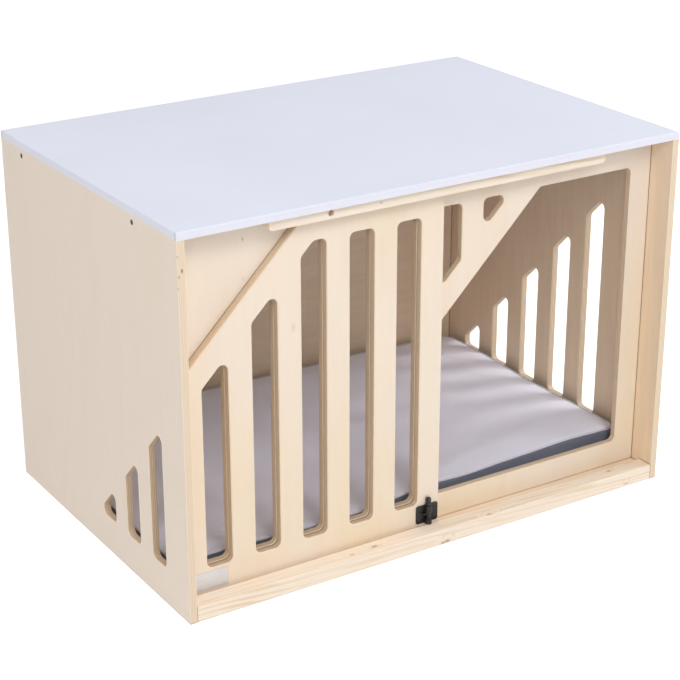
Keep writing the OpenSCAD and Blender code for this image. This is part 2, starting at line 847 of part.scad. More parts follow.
module latch_bolt() {
    r = bolt_d / 2;
    color(black) placed() difference() {
        translate([latch_x, bolt_y, bolt_z]) {
            cylinder(h=bolt_break, r1=r - bolt_break, r2=r);
            translate([0, 0, bolt_break]) cylinder(h=bolt_l - 2 * bolt_break, r=r);
            translate([0, 0, bolt_l - bolt_break]) cylinder(h=bolt_break, r1=r, r2=r - bolt_break);
        }
        translate([latch_x - r - past, bolt_y, knob_z]) rotate([0, 90, 0])
            cylinder(h=knob_seat + past, d=knob_stem_d);
    }
}

// Grip of the bolt: a stem in its seat and a head that points to the left
module latch_knob() {
    head_x = bolt_d / 2 + knob_stand;
    stem_l = knob_seat + knob_stand;
    color(black) placed() translate([latch_x, bolt_y, knob_z]) rotate([0, -90, 0]) {
        translate([0, 0, head_x - stem_l]) cylinder(h=stem_l, d=knob_stem_d);
        translate([0, 0, head_x]) cylinder(h=knob_l - head_x - knob_break, d=knob_d);
        translate([0, 0, knob_l - knob_break])
            cylinder(h=knob_break, d1=knob_d, d2=knob_d - 2 * knob_break);
    }
}

module latch_screws() {
    color(black) placed() at_latch_screws()
        round_screw(latch_screw_d, latch_head_d, latch_head_h, latch_t + latch_screw_l);
}

// Cushion

// Steps round each corner of the cushion, and along half of each side
corner_steps = 5;
side_steps = 4;
// The rounded lower and upper edges, as angles, and the crown, as shares of the way in
low_angles = [0, 45, 90];
high_angles = [0, 30, 60, 90];
crown_shares = [0.12, 0.3, 0.55, 0.8];

// One level of the cushion at height z, inset from its box, its sides drawn in by draw
function cushion_ring(inset, draw, z) =
    let (
        w = cushion_w - 2 * inset,
        d = cushion_d - 2 * inset,
        r = max(cushion_r - inset, cushion_edge)
    )
    [for (q = [0:3])
        let (
            centre = [(q == 0 || q == 3 ? w - r : r) + inset, (q < 2 ? d - r : r) + inset],
            run = q % 2 == 0 ? w - 2 * r : d - 2 * r,
            along = [-cos(q * 90), -sin(q * 90)],
            inward = [sin(q * 90), -cos(q * 90)],
            turned = centre - r * inward
        )
        each concat(
            [for (i = [0:corner_steps])
                let (a = 90 * (q + i / corner_steps))
                concat(centre + r * [cos(a), sin(a)], z)],
            [for (i = [1:2 * side_steps - 1])
                let (t = i / (2 * side_steps))
                concat(turned + along * run * t + inward * draw * sin(180 * t), z)]
        )];

// Closed crowned form, shrunk by t on every side
module cushion_form(t) {
    e = cushion_edge;
    z0 = floor_top + t;
    z1 = floor_top + cushion_band - t;
    way_in = cushion_d / 2 - e - cushion_r;
    rings = concat(
        [for (a = low_angles)
            cushion_ring(t + e * (1 - sin(a)), cushion_draw * sin(a), z0 + e * (1 - cos(a)))],
        [cushion_ring(t - cushion_bulge, cushion_draw, (z0 + z1) / 2)],
        [for (a = high_angles)
            cushion_ring(t + e * (1 - cos(a)), cushion_draw, z1 - e * (1 - sin(a)))],
        [for (k = crown_shares)
            cushion_ring(t + e + k * way_in, cushion_draw * (1 - k), z1 + cushion_crown * sin(90 * k))]
    );
    n = len(rings[0]);
    m = len(rings);
    centre = [cushion_w / 2, cushion_d / 2];
    poles = [concat(centre, z0), concat(centre, z1 + cushion_crown)];
    walls = [for (j = [0:m - 2], i = [0:n - 1])
        let (a = j * n + i, b = j * n + (i + 1) % n)
        each [[a, a + n, b], [b, a + n, b + n]]];
    ends = [for (i = [0:n - 1])
        let (next = (i + 1) % n, last = (m - 1) * n)
        each [[i, next, m * n], [last + next, last + i, m * n + 1]]];
    translate([cushion_x0, cushion_y0, 0])
        polyhedron(concat([for (ring = rings) each ring], poles), concat(walls, ends));
}

module cushion_cover() {
    color(slate) placed() difference() {
        cushion_form(0);
        cushion_form(cover_t);
    }
}

module cushion_core() {
    color(foam) placed() cushion_form(cover_t + core_gap);
}

top_board();
left_side_panel();
right_side_panel();
back_panel();
floor_panel();
front_panel();
sliding_door();
bottom_lath();
top_lath();
left_top_cleat();
right_top_cleat();
left_floor_batten();
middle_floor_batten();
right_floor_batten();
side_screws();
top_board_screws();
floor_screws();
floor_dowels();
front_panel_dowels();
back_panel_dowels();
top_lath_dowels();
corner_brackets();
bracket_screws();
latch_plate();
latch_bolt();
latch_knob();
latch_screws();
cushion_cover();
cushion_core();
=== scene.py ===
"""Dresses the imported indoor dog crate: plywood, pine, metal, cushion and studio."""

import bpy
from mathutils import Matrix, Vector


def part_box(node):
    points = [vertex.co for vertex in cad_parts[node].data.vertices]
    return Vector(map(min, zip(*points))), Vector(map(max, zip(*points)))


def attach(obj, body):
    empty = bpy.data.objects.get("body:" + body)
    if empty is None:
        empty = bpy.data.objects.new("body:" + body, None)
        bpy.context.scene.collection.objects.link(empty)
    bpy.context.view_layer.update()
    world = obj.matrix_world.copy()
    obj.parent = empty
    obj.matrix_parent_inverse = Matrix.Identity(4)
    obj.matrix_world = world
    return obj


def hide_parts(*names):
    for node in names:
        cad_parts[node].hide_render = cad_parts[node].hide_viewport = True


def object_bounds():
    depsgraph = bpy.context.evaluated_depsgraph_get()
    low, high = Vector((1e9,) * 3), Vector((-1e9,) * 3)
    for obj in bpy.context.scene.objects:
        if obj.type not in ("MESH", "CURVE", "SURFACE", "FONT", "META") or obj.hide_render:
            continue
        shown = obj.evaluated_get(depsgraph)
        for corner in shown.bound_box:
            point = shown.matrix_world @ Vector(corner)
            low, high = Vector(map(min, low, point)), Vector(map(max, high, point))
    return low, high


bl_info = {
    "name": "Indoor Dog Crate",
    "version": (1, 0, 0),
    "blender": (4, 5, 0),
    "location": "View3D > Sidebar > Dog Crate",
    "description": "Wood, metal and cushion of a plywood dog crate, with a plain studio",
    "category": "Add Mesh",
}

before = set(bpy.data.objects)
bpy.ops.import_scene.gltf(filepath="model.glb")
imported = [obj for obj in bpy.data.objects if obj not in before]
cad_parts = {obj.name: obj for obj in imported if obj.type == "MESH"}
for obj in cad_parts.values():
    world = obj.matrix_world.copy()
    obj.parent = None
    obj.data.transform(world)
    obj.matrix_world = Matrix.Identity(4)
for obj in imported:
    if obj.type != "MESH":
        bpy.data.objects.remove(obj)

import math

import bmesh
import bpy
from mathutils import Matrix, Vector, noise
from mathutils.kdtree import KDTree

CAD_BOX = [list(corner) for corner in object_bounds()]
FRONT_EDGE = CAD_BOX[0][1]

# The plywood: its thickness, its plies, how far a glue line reaches as a share of that thickness,
# and the plies, counted from 0, that a dark glue line follows
SHEET = 0.012
SHEET_PLIES = 9
GLUE_REACH = 0.028
DARK_GLUE_LINES = (2, 5)

# Distance from the top board's corners to the joints between its edge bands
BAND_JOINT = 0.0032

# Tones that multiply a colour as painted shade: on faces towards the cabin, and in narrow joints
# and inner corners
INNER_SHADE = (1.0, 0.92, 0.81)
WOOD_CREVICE_SHADE = (0.28, 0.17, 0.1)
PINE_CREVICE_SHADE = (0.66, 0.52, 0.42)
CLOTH_CREVICE_SHADE = (0.6, 0.58, 0.6)


def shade(red, green, blue):
    """Linear colour of three 8-bit numbers."""
    parts = [value / 255 for value in (red, green, blue)]
    return tuple(v / 12.92 if v <= 0.04045 else ((v + 0.055) / 1.055) ** 2.4 for v in parts)


# Sizes and colours


def length(name, description, default, low, high):
    """Property for a size in metres."""
    return bpy.props.FloatProperty(
        name=name, description=description, default=default, min=low, max=high,
        unit="LENGTH", subtype="DISTANCE", precision=4,
    )


def tint(name, description, default):
    """Property for a colour."""
    return bpy.props.FloatVectorProperty(
        name=name, description=description, default=default, min=0.0, max=1.0, subtype="COLOR",
    )


class CrateSizes(bpy.types.PropertyGroup):
    """Sizes of the pieces that the frame doesn't hold."""

    cushion_seam: length(
        "Seam height", "Height of the cushion's seam over the floor", 0.050, 0.03, 0.07)
    cushion_corner: length("Cushion corner", "Corner radius of the cushion", 0.024, 0.01, 0.05)
    cushion_rim: length("Cushion rim", "Rounding of the cushion's long edges", 0.007, 0.002, 0.02)
    cushion_draw: length(
        "Cushion draw", "How far its sides pull in between the corners", 0.005, 0.0, 0.01)
    cushion_start: length(
        "Cushion start", "How much smaller it is before it is filled", 0.003, 0.0, 0.01)
    cushion_swell: length(
        "Cushion swell", "How far the filling may push the cover", 0.007, 0.0, 0.03)
    cushion_voxel: length("Cushion mesh", "Size of the faces that are filled", 0.008, 0.005, 0.02)
    welt_radius: length("Welt", "Radius of the welt along the seam", 0.0016, 0.0005, 0.004)
    plate_width: length("Plate width", "Width of the bare plate on the door", 0.055, 0.02, 0.1)
    plate_height: length("Plate height", "Height of the bare plate on the door", 0.030, 0.01, 0.06)
    plate_depth: length("Plate thickness", "Thickness of the bare plate", 0.0008, 0.0003, 0.002)
    plate_corner: length("Plate corners", "Corner radius of the bare plate", 0.0018, 0.0, 0.01)
    plate_left: length(
        "Plate place", "Distance from the door's left edge to the plate", 0.017, 0.002, 0.1)
    plate_rise: length(
        "Plate rise", "Distance from the door's foot to the plate", 0.0055, 0.001, 0.1)


class CrateColours(bpy.types.PropertyGroup):
    """Colours of the finishes."""

    birch_pale: tint("Birch, pale", "Pale birch veneer", shade(238, 223, 207))
    birch_deep: tint("Birch, deep", "Deeper figure of the birch veneer", shade(233, 212, 188))
    # Colour of the painted warm bounce light on the birch near the ground
    birch_bounce_light: tint("Birch, warm", "Warmer birch near the ground", shade(236, 216, 184))
    ply_light: tint("Ply, light", "Plies whose grain runs along the edge", shade(240, 222, 198))
    ply_dark: tint("Ply, dark", "Plies that show their end grain", shade(220, 192, 158))
    glue: tint("Glue line", "Thin lines between the plies", shade(122, 82, 52))
    pine_pale: tint("Pine, pale", "Spring wood of the pine", shade(243, 228, 210))
    pine_deep: tint("Pine, deep", "Summer wood of the pine", shade(226, 200, 167))
    knot: tint("Knots", "Knots and resin marks", shade(120, 72, 38))
    board: tint("White board", "Facing of the top board", shade(223, 227, 241))
    board_band: tint("White board, edge", "Edge bands of the top board", shade(226, 226, 236))
    board_joint: tint("White board, joint", "Joints of the edge bands", shade(96, 98, 112))
    cover_top: tint("Cushion, top", "Upper fabric of the cushion", shade(241, 240, 254))
    cover_band: tint("Cushion, band", "Side band of the cushion", shade(122, 127, 143))
    welt: tint("Welt", "Welt along the seam", shade(222, 220, 230))
    zinc: tint("Zinc", "Zinc plated steel", (0.66, 0.67, 0.68))
    blued: tint("Side screws", "Darker steel of the side screws", (0.05, 0.065, 0.08))
    black: tint("Black steel", "Black coated steel", (0.006, 0.006, 0.0065))
    worn: tint("Worn steel", "Bare steel on the worn edges", (0.2, 0.19, 0.18))
    plate_pale: tint("Bare plate, pale", "Metal of the bare plate", shade(222, 222, 224))
    plate_deep: tint("Bare plate, deep", "Brush lines of the bare plate", shade(206, 206, 210))
    beech: tint("Beech", "Turned dowels", shade(214, 178, 128))


# Materials


class Finish:
    """A node material in the making, in the crate's own coordinates."""

    def __init__(self, name, **constants):
        self.material = bpy.data.materials.new(name)
        self.material.use_nodes = True
        self.tree = self.material.node_tree
        self.shader = self.tree.nodes["Principled BSDF"]
        coords = self.tree.nodes.new("ShaderNodeTexCoord")
        self.place = coords.outputs["Object"]
        self.facing = coords.outputs["Normal"]
        for socket, value in constants.items():
            self.put(self.shader, socket.replace("_", " "), value)

    def put(self, node, socket, value):
        """Links or sets one input of a node."""
        target = node.inputs[socket]
        if isinstance(value, bpy.types.NodeSocket):
            self.tree.links.new(value, target)
        elif target.type == "RGBA" and len(value) == 3:
            target.default_value = (*value, 1.0)
        else:
            target.default_value = value

    def node(self, kind, inputs=None, **settings):
        """Adds a shader node with its settings and inputs."""
        made = self.tree.nodes.new("ShaderNode" + kind)
        for key, value in settings.items():
            setattr(made, key, value)
        for socket, value in (inputs or {}).items():
            self.put(made, socket, value)
        return made

    def calc(self, operation, first, second=0.0):
        return self.node("Math", {0: first, 1: second}, operation=operation).outputs[0]

    def part(self, axis, vector=None):
        """One coordinate of a vector, or else of the place in the crate."""
        parts = self.node("SeparateXYZ", {0: self.place if vector is None else vector})
        return parts.outputs["XYZ".index(axis)]

    def looking(self, axis):
        """How far a face looks along an axis, either way."""
        return self.calc("ABSOLUTE", self.part(axis, self.facing))

    def spread(self, value, low, high, out_low=0.0, out_high=1.0):
        """Smooth step of a value from one range to another."""
        inputs = {"Value": value, "From Min": low, "From Max": high,
                  "To Min": out_low, "To Max": out_high}
        return self.node("MapRange", inputs, interpolation_type="SMOOTHSTEP").outputs[0]

    def mixed(self, share, first, second, mode="MIX"):
        inputs = {0: share, 6: first, 7: second}
        return self.node("Mix", inputs, data_type="RGBA", blend_type=mode).outputs[2]

    def ramp(self, value, stops):
        made = self.node("ValToRGB", {0: value})
        elements = made.color_ramp.elements
        while len(elements) < len(stops):
            elements.new(1.0)
        for element, (place, colour) in zip(elements, stops):
            element.position = place
            element.color = (*colour, 1.0)
        return made.outputs[0]

    def stretched(self, scale, shift=(0, 0, 0)):
        """Place in the crate, scaled and shifted, for a pattern that is drawn out or moved."""
        inputs = {"Vector": self.place, "Scale": scale, "Location": shift}
        return self.node("Mapping", inputs).outputs[0]

    def noise(self, vector, scale, detail=2.0, roughness=0.5, distortion=0.0):
        inputs = {"Vector": vector, "Scale": scale, "Detail": detail,
                  "Roughness": roughness, "Distortion": distortion}
        return self.node("TexNoise", inputs).outputs[0]

    def bump(self, height, distance, strength):
        inputs = {"Height": height, "Distance": distance, "Strength": strength}
        return self.node("Bump", inputs).outputs[0]

    def spots(self, places, along):
        """Share of each mark at a point, for marks of (x, y, z, radius, share) drawn out along
        the grain."""
        squeeze = along_grain(along, 0.55)
        total = 0.0
        for x, y, z, radius, share in places:
            offset = self.node("VectorMath", {0: self.place, 1: (x, y, z)}, operation="SUBTRACT")
            inputs = {0: offset.outputs[0], 1: squeeze}
            squeezed = self.node("VectorMath", inputs, operation="MULTIPLY").outputs[0]
            size = self.node("VectorMath", {0: squeezed}, operation="LENGTH").outputs["Value"]
            one = self.spread(size, radius * 0.35, radius, share, 0.0)
            total = self.calc("MAXIMUM", total, one)
        return total

    def painted_crevice_shade(self, colour, reach, tone):
        """Colour with a painted shade in narrow joints and inner corners, darker where little open
        space surrounds a point.
        """
        free = self.node("AmbientOcclusion", {"Distance": reach}, samples=4).outputs["AO"]
        deep = self.mixed(1.0, colour, tone, "MULTIPLY")
        return self.mixed(self.spread(free, 0.25, 0.92, 1.0, 0.0), colour, deep)

    def finish(self, colour, roughness=None, normal=None):
        """Sets the last inputs of the shader and returns the material."""
        self.put(self.shader, "Base Color", colour)
        if roughness is not None:
            self.put(self.shader, "Roughness", roughness)
        if normal is not None:
            self.put(self.shader, "Normal", normal)
        return self.material


def along_grain(along, share):
    """Scale that draws a pattern out along the grain."""
    return [share if axis == along else 1.0 for axis in "XYZ"]


def dimmed(colour, share):
    """Darker shade of a colour."""
    return tuple(value * share for value in colour)


def toned(f, colour, tone):
    """Colour multiplied by a grey tone."""
    grey = f.node("CombineColor", {0: tone, 1: tone, 2: tone}).outputs[0]
    return f.mixed(1.0, colour, grey, "MULTIPLY")


def ply_layers(f, depth, light, dark, glue):
    """Plies between the two faces of a sheet, with a faint or dark glue line between two."""
    faint = tuple(0.62 * a + 0.38 * b for a, b in zip(dark, glue))
    stops = [(0.0, light)]
    for i in range(SHEET_PLIES):
        colour = dark if i % 2 else light
        low, high = i / SHEET_PLIES, (i + 1) / SHEET_PLIES
        stops += [(low + GLUE_REACH, colour), (high - GLUE_REACH, colour)]
        if i < SHEET_PLIES - 1:
            stops.append((high, glue if i in DARK_GLUE_LINES else faint))
    return f.ramp(depth, stops)


def birch_plywood(name, across, low, along, seed, marks, inside, warm):
    """Birch plywood: flamed face veneer, and bare plies on every cut edge.

    The face towards the cabin, which looks along the axis across the sheet for inside = 1 and
    against it for -1, takes a painted shade, darker and more brown, for the shade in the cabin;
    inside = 0 leaves it out. Near the ground, warm sets a painted warm bounce light in cloudy
    patches, and it also sets how strongly the flame figure shows. The plies are counted from low
    on that axis. Marks are small knots and pins, on the faces and the edges.
    """
    colours = bpy.context.scene.crate_colours
    f = Finish(name)
    shift = (seed, seed * 1.7, seed * 2.3)
    drift = f.noise(f.stretched(along_grain(along, 0.25), shift), 5.0, 3.0, 0.45, 0.4)
    flame = f.calc("SINE", f.calc("MULTIPLY", drift, 38.0))
    flame = f.spread(flame, -0.4, 1.3, 0.0, 0.55)
    patches = f.noise(f.stretched(along_grain(along, 0.6), shift), 5.5, 2.0)
    flame = f.calc("MULTIPLY", flame, f.spread(patches, 0.42, 0.68, 0.0, 0.35 + 0.65 * warm))
    face = f.mixed(flame, colours.birch_pale[:], colours.birch_deep[:])
    # Painted warm bounce light near the ground, in cloudy patches, as strong as warm sets it
    height = f.spread(f.part("Z"), 0.45, 0.03, 0.3 * warm, 0.8 * warm)
    clouds = f.noise(f.stretched((1, 1, 1), shift), 3.4, 3.0)
    face = f.mixed(f.calc("MULTIPLY", f.spread(clouds, 0.3, 0.66), height), face,
                   colours.birch_bounce_light[:])
    fibres = f.noise(f.stretched(along_grain(along, 0.04), shift), 620.0, 3.0, 0.7)
    strands = f.noise(f.stretched(along_grain(along, 0.1), shift), 90.0, 2.0, 0.6)
    grain = f.calc("ADD", f.calc("MULTIPLY", fibres, 0.6), f.calc("MULTIPLY", strands, 0.4))
    face = toned(f, face, f.spread(grain, 0.25, 0.75, 0.972, 1.012))
    pores = f.noise(f.stretched(along_grain(along, 0.12), shift), 750.0, 1.0)
    face = f.mixed(f.spread(pores, 0.72, 0.84, 0.0, 0.1), face, colours.ply_dark[:])
    # Painted shade: the face towards the cabin is made darker and more brown for the shade inside
    # it
    if inside:
        inner = f.spread(f.calc("MULTIPLY", f.part(across, f.facing), inside), 0.5, 0.9)
        cabin_shaded = f.mixed(1.0, face, INNER_SHADE, "MULTIPLY")
        cabin_shaded = toned(f, cabin_shaded, f.spread(strands, 0.36, 0.62, 0.975, 1.01))
        face = f.mixed(inner, face, cabin_shaded)

    wander = f.calc("MULTIPLY", f.calc("SUBTRACT", f.noise(f.place, 45.0), 0.5), 0.0008)
    depth = f.calc("ADD", f.calc("SUBTRACT", f.part(across), low), wander)
    depth = f.calc("DIVIDE", depth, SHEET)
    layers = ply_layers(f, depth, colours.ply_light[:], colours.ply_dark[:], colours.glue[:])
    sanded = f.spread(f.part("Y"), FRONT_EDGE + 0.0015, FRONT_EDGE + 0.0005, 0.0, 0.5)
    layers = f.mixed(sanded, layers, colours.ply_light[:])
    speckle = f.noise(f.place, 900.0, 2.0)
    layers = toned(f, layers, f.spread(speckle, 0.3, 0.75, 0.93, 1.03))
    edge = f.spread(f.looking(across), 0.86, 0.97, 1.0, 0.0)
    colour = f.mixed(edge, face, layers)
    if marks:
        colour = f.mixed(f.spots(marks, along), colour, colours.knot[:])
    # Painted shade in the joints and inner corners of the plywood
    colour = f.painted_crevice_shade(colour, 0.0036, WOOD_CREVICE_SHADE)
    roughness = f.spread(grain, 0.3, 0.7, 0.46, 0.6)
    roughness = f.calc("ADD", roughness, f.calc("MULTIPLY", edge, 0.16))
    relief = f.mixed(edge, grain, speckle)
    return f.finish(colour, roughness, f.bump(relief, 0.00018, 0.4))


def pine_wood(name, along, seed, knots=()):
    """Planed pine: narrow growth lines along the piece, rings on its ends, and knots."""
    colours = bpy.context.scene.crate_colours
    f = Finish(name)
    shift = (seed, seed * 1.3, seed * 0.7)
    drift = f.noise(f.stretched(along_grain(along, 0.12), shift), 22.0, 2.0)
    swirl = f.spots([(x, y, z, radius * 4, 1.0) for x, y, z, radius, _ in knots], along)
    lines = f.node("TexWave", {
        "Vector": f.stretched(along_grain(along, 0.05), shift), "Scale": 62.0, "Distortion": 7.0,
        "Detail": 3.0, "Detail Scale": 1.2, "Phase Offset": f.calc("MULTIPLY", swirl, 9.0),
    }, bands_direction="DIAGONAL").outputs[1]
    rings = f.calc("MULTIPLY", f.spread(lines, 0.45, 1.0), f.spread(drift, 0.3, 0.7, 0.0, 0.85))
    fibres = f.noise(f.stretched(along_grain(along, 0.03), shift), 700.0, 2.0, 0.7)
    colour = f.mixed(rings, colours.pine_pale[:], colours.pine_deep[:])
    colour = toned(f, colour, f.spread(fibres, 0.25, 0.75, 0.965, 1.02))
    ends = f.spread(f.looking(along), 0.8, 0.97)
    colour = f.mixed(f.calc("MULTIPLY", ends, 0.4), colour, colours.pine_deep[:])
    relief = f.calc("ADD", f.calc("MULTIPLY", rings, 0.4), f.calc("MULTIPLY", fibres, 0.6))
    if knots:
        spots = f.spots(knots, along)
        wider = [(x, y, z, radius * 2.2, share * 0.6) for x, y, z, radius, share in knots]
        halo = f.spots(wider, along)
        colour = f.mixed(halo, colour, colours.pine_deep[:])
        colour = f.mixed(spots, colour, colours.knot[:])
        relief = f.calc("SUBTRACT", relief, f.calc("MULTIPLY", spots, 0.8))
    # Painted shade in the joints and inner corners of the pine
    colour = f.painted_crevice_shade(colour, 0.0032, PINE_CREVICE_SHADE)
    roughness = f.spread(fibres, 0.3, 0.7, 0.44, 0.62)
    return f.finish(colour, roughness, f.bump(relief, 0.00025, 0.4))


def white_facing(board_low, board_high):
    """Satin white facing with a fine orange-peel, and edge bands that meet at the corners."""
    colours = bpy.context.scene.crate_colours
    f = Finish("white_facing", Specular_IOR_Level=0.4)
    peel = f.noise(f.place, 480.0, 2.0)
    cloud = f.noise(f.place, 3.5, 2.0)
    colour = f.mixed(f.spread(cloud, 0.35, 0.7), colours.board[:], dimmed(colours.board, 0.97))
    band = f.spread(f.looking("Z"), 0.2, 0.8, 1.0, 0.0)
    colour = f.mixed(f.calc("MULTIPLY", band, 0.8), colour, colours.board_band[:])
    for end, sign in ((board_low.y, 1), (board_high.y, -1)):
        inward = f.calc("MULTIPLY", f.calc("SUBTRACT", f.part("Y"), end), sign)
        gap = f.calc("ABSOLUTE", f.calc("SUBTRACT", inward, BAND_JOINT))
        line = f.calc("MULTIPLY", f.spread(gap, 0.0003, 0.0012, 0.7, 0.0), band)
        line = f.calc("MULTIPLY", line, f.spread(f.looking("X"), 0.7, 0.95))
        colour = f.mixed(line, colour, colours.board_joint[:])
    return f.finish(colour, f.spread(peel, 0.3, 0.7, 0.34, 0.44), f.bump(peel, 0.00008, 0.35))


def steel(name, colour, rough_low, rough_high, metallic, wear=0.0):
    """Plated or coated steel with fine brushing, and bare metal on its edges where it is worn."""
    f = Finish(name, Metallic=metallic)
    brushed = f.noise(f.stretched((1, 1, 0.1)), 1800.0, 3.0, 0.6)
    cloud = f.noise(f.place, 160.0, 3.0, 0.6)
    tone = f.mixed(f.spread(cloud, 0.3, 0.75), colour, dimmed(colour, 0.8))
    if wear:
        rounded = f.node("Bevel", {"Radius": 0.0006}, samples=4).outputs[0]
        sharp = f.node("NewGeometry").outputs["Normal"]
        turned = f.node("VectorMath", {0: rounded, 1: sharp}, operation="DOT_PRODUCT")
        edge = f.spread(turned.outputs["Value"], 0.999, 0.9)
        rubbed = f.calc("MULTIPLY", edge, f.spread(cloud, 0.42, 0.6, 0.0, wear))
        tone = f.mixed(rubbed, tone, bpy.context.scene.crate_colours.worn[:])
    roughness = f.spread(brushed, 0.3, 0.7, rough_low, rough_high)
    return f.finish(tone, roughness, f.bump(brushed, 0.00004, 0.4))


def plate_metal():
    """Brushed metal of the bare plate."""
    colours = bpy.context.scene.crate_colours
    f = Finish("plate_metal", Metallic=0.55)
    lines = f.noise(f.stretched((0.02, 1, 1)), 2600.0, 2.0)
    tone = f.mixed(f.spread(lines, 0.3, 0.7), colours.plate_pale[:], colours.plate_deep[:])
    return f.finish(tone, f.spread(lines, 0.3, 0.7, 0.4, 0.55), f.bump(lines, 0.00003, 0.4))


def turned_beech():
    """Dowels with short dark flecks."""
    colours = bpy.context.scene.crate_colours
    f = Finish("turned_beech", Roughness=0.6)
    flecks = f.noise(f.stretched((0.25, 0.25, 0.25)), 1500.0, 2.0)
    colour = f.mixed(f.spread(flecks, 0.45, 0.7), colours.beech[:], dimmed(colours.beech, 0.72))
    return f.finish(colour, normal=f.bump(flecks, 0.0001, 0.4))


def cushion_fabric():
    """Smooth woven cover: pale over the seam and slate under it, with puckers along the seam."""
    colours = bpy.context.scene.crate_colours
    f = Finish("cushion_fabric", Roughness=0.9, Sheen_Weight=0.25, Sheen_Roughness=0.5)
    over = f.node("Attribute", attribute_name="over_seam").outputs["Fac"]
    band = f.spread(over, -0.0004, 0.0004, 1.0, 0.0)
    threads = [
        f.node("TexWave", {"Vector": f.place, "Scale": 210.0, "Distortion": 0.8},
               bands_direction=axis).outputs[1]
        for axis in "XY"
    ]
    weave = f.calc("MULTIPLY", threads[0], threads[1])
    slub = f.noise(f.place, 700.0, 3.0, 0.7)
    cloud = f.noise(f.place, 9.0, 3.0)
    pale = f.mixed(f.spread(cloud, 0.3, 0.75), colours.cover_top[:],
                   dimmed(colours.cover_top, 0.96))
    slate = f.mixed(f.spread(slub, 0.3, 0.7), colours.cover_band[:],
                    dimmed(colours.cover_band, 0.7))
    colour = f.mixed(band, pale, slate)
    shadow = f.spread(f.calc("ABSOLUTE", over), 0.0, 0.0035, 0.8, 1.0)
    colour = toned(f, colour, shadow)
    from_rim = f.node("Attribute", attribute_name="from_rim").outputs["Fac"]
    near = f.spread(from_rim, 0.003, 0.03, 1.0, 0.0)
    puckers = f.calc("MULTIPLY", f.noise(f.stretched((1, 1, 0.2)), 75.0, 2.0, 0.6), near)
    # Painted shade where the cushion meets the panels and in its creases
    colour = f.painted_crevice_shade(colour, 0.008, CLOTH_CREVICE_SHADE)
    fine = f.bump(f.calc("ADD", weave, slub), 0.0002, 0.5)
    inputs = {"Height": puckers, "Distance": 0.003, "Strength": 0.6, "Normal": fine}
    relief = f.node("Bump", inputs)
    return f.finish(colour, normal=relief.outputs[0])


def woven(name, colour):
    """Twisted thread of the welt."""
    f = Finish(name, Roughness=0.9, Sheen_Weight=0.2, Sheen_Roughness=0.5)
    twist = f.noise(f.place, 900.0, 2.0)
    tone = f.mixed(f.spread(twist, 0.3, 0.7), colour, dimmed(colour, 0.8))
    return f.finish(tone, normal=f.bump(twist, 0.0002, 0.6))


# Pieces


def dress(material, *nodes):
    """Gives CAD nodes a material, with their meshes left as they are."""
    for node in nodes:
        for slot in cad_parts[node].material_slots:
            slot.material = material


def place_piece(name, mesh, material, body, smooth=True):
    """Makes an object of a mesh and lets it ride on a body."""
    mesh.name = name
    for face in mesh.polygons:
        face.use_smooth = smooth
    mesh.materials.clear()
    mesh.materials.append(material)
    piece = bpy.data.objects.new(name, mesh)
    bpy.context.scene.collection.objects.link(piece)
    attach(piece, body)
    return piece


def mesh_of(bm):
    """Mesh of a bmesh, with its faces turned outwards. The bmesh is freed."""
    bmesh.ops.recalc_face_normals(bm, faces=bm.faces)
    mesh = bpy.data.meshes.new("piece")
    bm.to_mesh(mesh)
    bm.free()
    return mesh


def with_modifier(mesh, kind, **settings):
    """Mesh after a modifier, on an object made for it alone."""
    holder = bpy.data.objects.new("holder", mesh)
    bpy.context.scene.collection.objects.link(holder)
    modifier = holder.modifiers.new(kind.lower(), kind)
    for key, value in settings.items():
        setattr(modifier, key, value)
    bpy.context.view_layer.update()
    graph = bpy.context.evaluated_depsgraph_get()
    result = bpy.data.meshes.new_from_object(holder.evaluated_get(graph))
    bpy.data.objects.remove(holder)
    return result


def box_bmesh(low, high):
    """A box between two corners."""
    bm = bmesh.new()
    bmesh.ops.create_cube(bm, size=1.0)
    low, high = Vector(low), Vector(high)
    bmesh.ops.scale(bm, vec=high - low, verts=bm.verts)
    bmesh.ops.translate(bm, vec=(low + high) / 2, verts=bm.verts)
    return bm


def round_edges(bm, offset, segments, chosen):
    """Rounds the edges that pass a test."""
    edges = [edge for edge in bm.edges if chosen(edge)]
    bmesh.ops.bevel(bm, geom=edges, offset=offset, offset_type="OFFSET", segments=segments,
                    profile=0.5, affect="EDGES", clamp_overlap=True, material=-1)


def edge_along(axis):
    """Test for the edges that run along an axis."""
    i = "XYZ".index(axis)

    def chosen(edge):
        way = (edge.verts[1].co - edge.verts[0].co).normalized()
        return abs(way[i]) > 0.99

    return chosen


def solids(node):
    """Corner lists of the separate solids of a CAD node."""
    bm = bmesh.new()
    bm.from_mesh(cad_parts[node].data)
    bmesh.ops.remove_doubles(bm, verts=bm.verts, dist=1e-6)
    left, found = set(bm.verts), []
    for start in list(bm.verts):
        if start not in left:
            continue
        left.discard(start)
        open_ends, group = [start], []
        while open_ends:
            vert = open_ends.pop()
            group.append(vert.co.copy())
            for edge in vert.link_edges:
                other = edge.other_vert(vert)
                if other in left:
                    left.discard(other)
                    open_ends.append(other)
        found.append(group)
    bm.free()
    return found


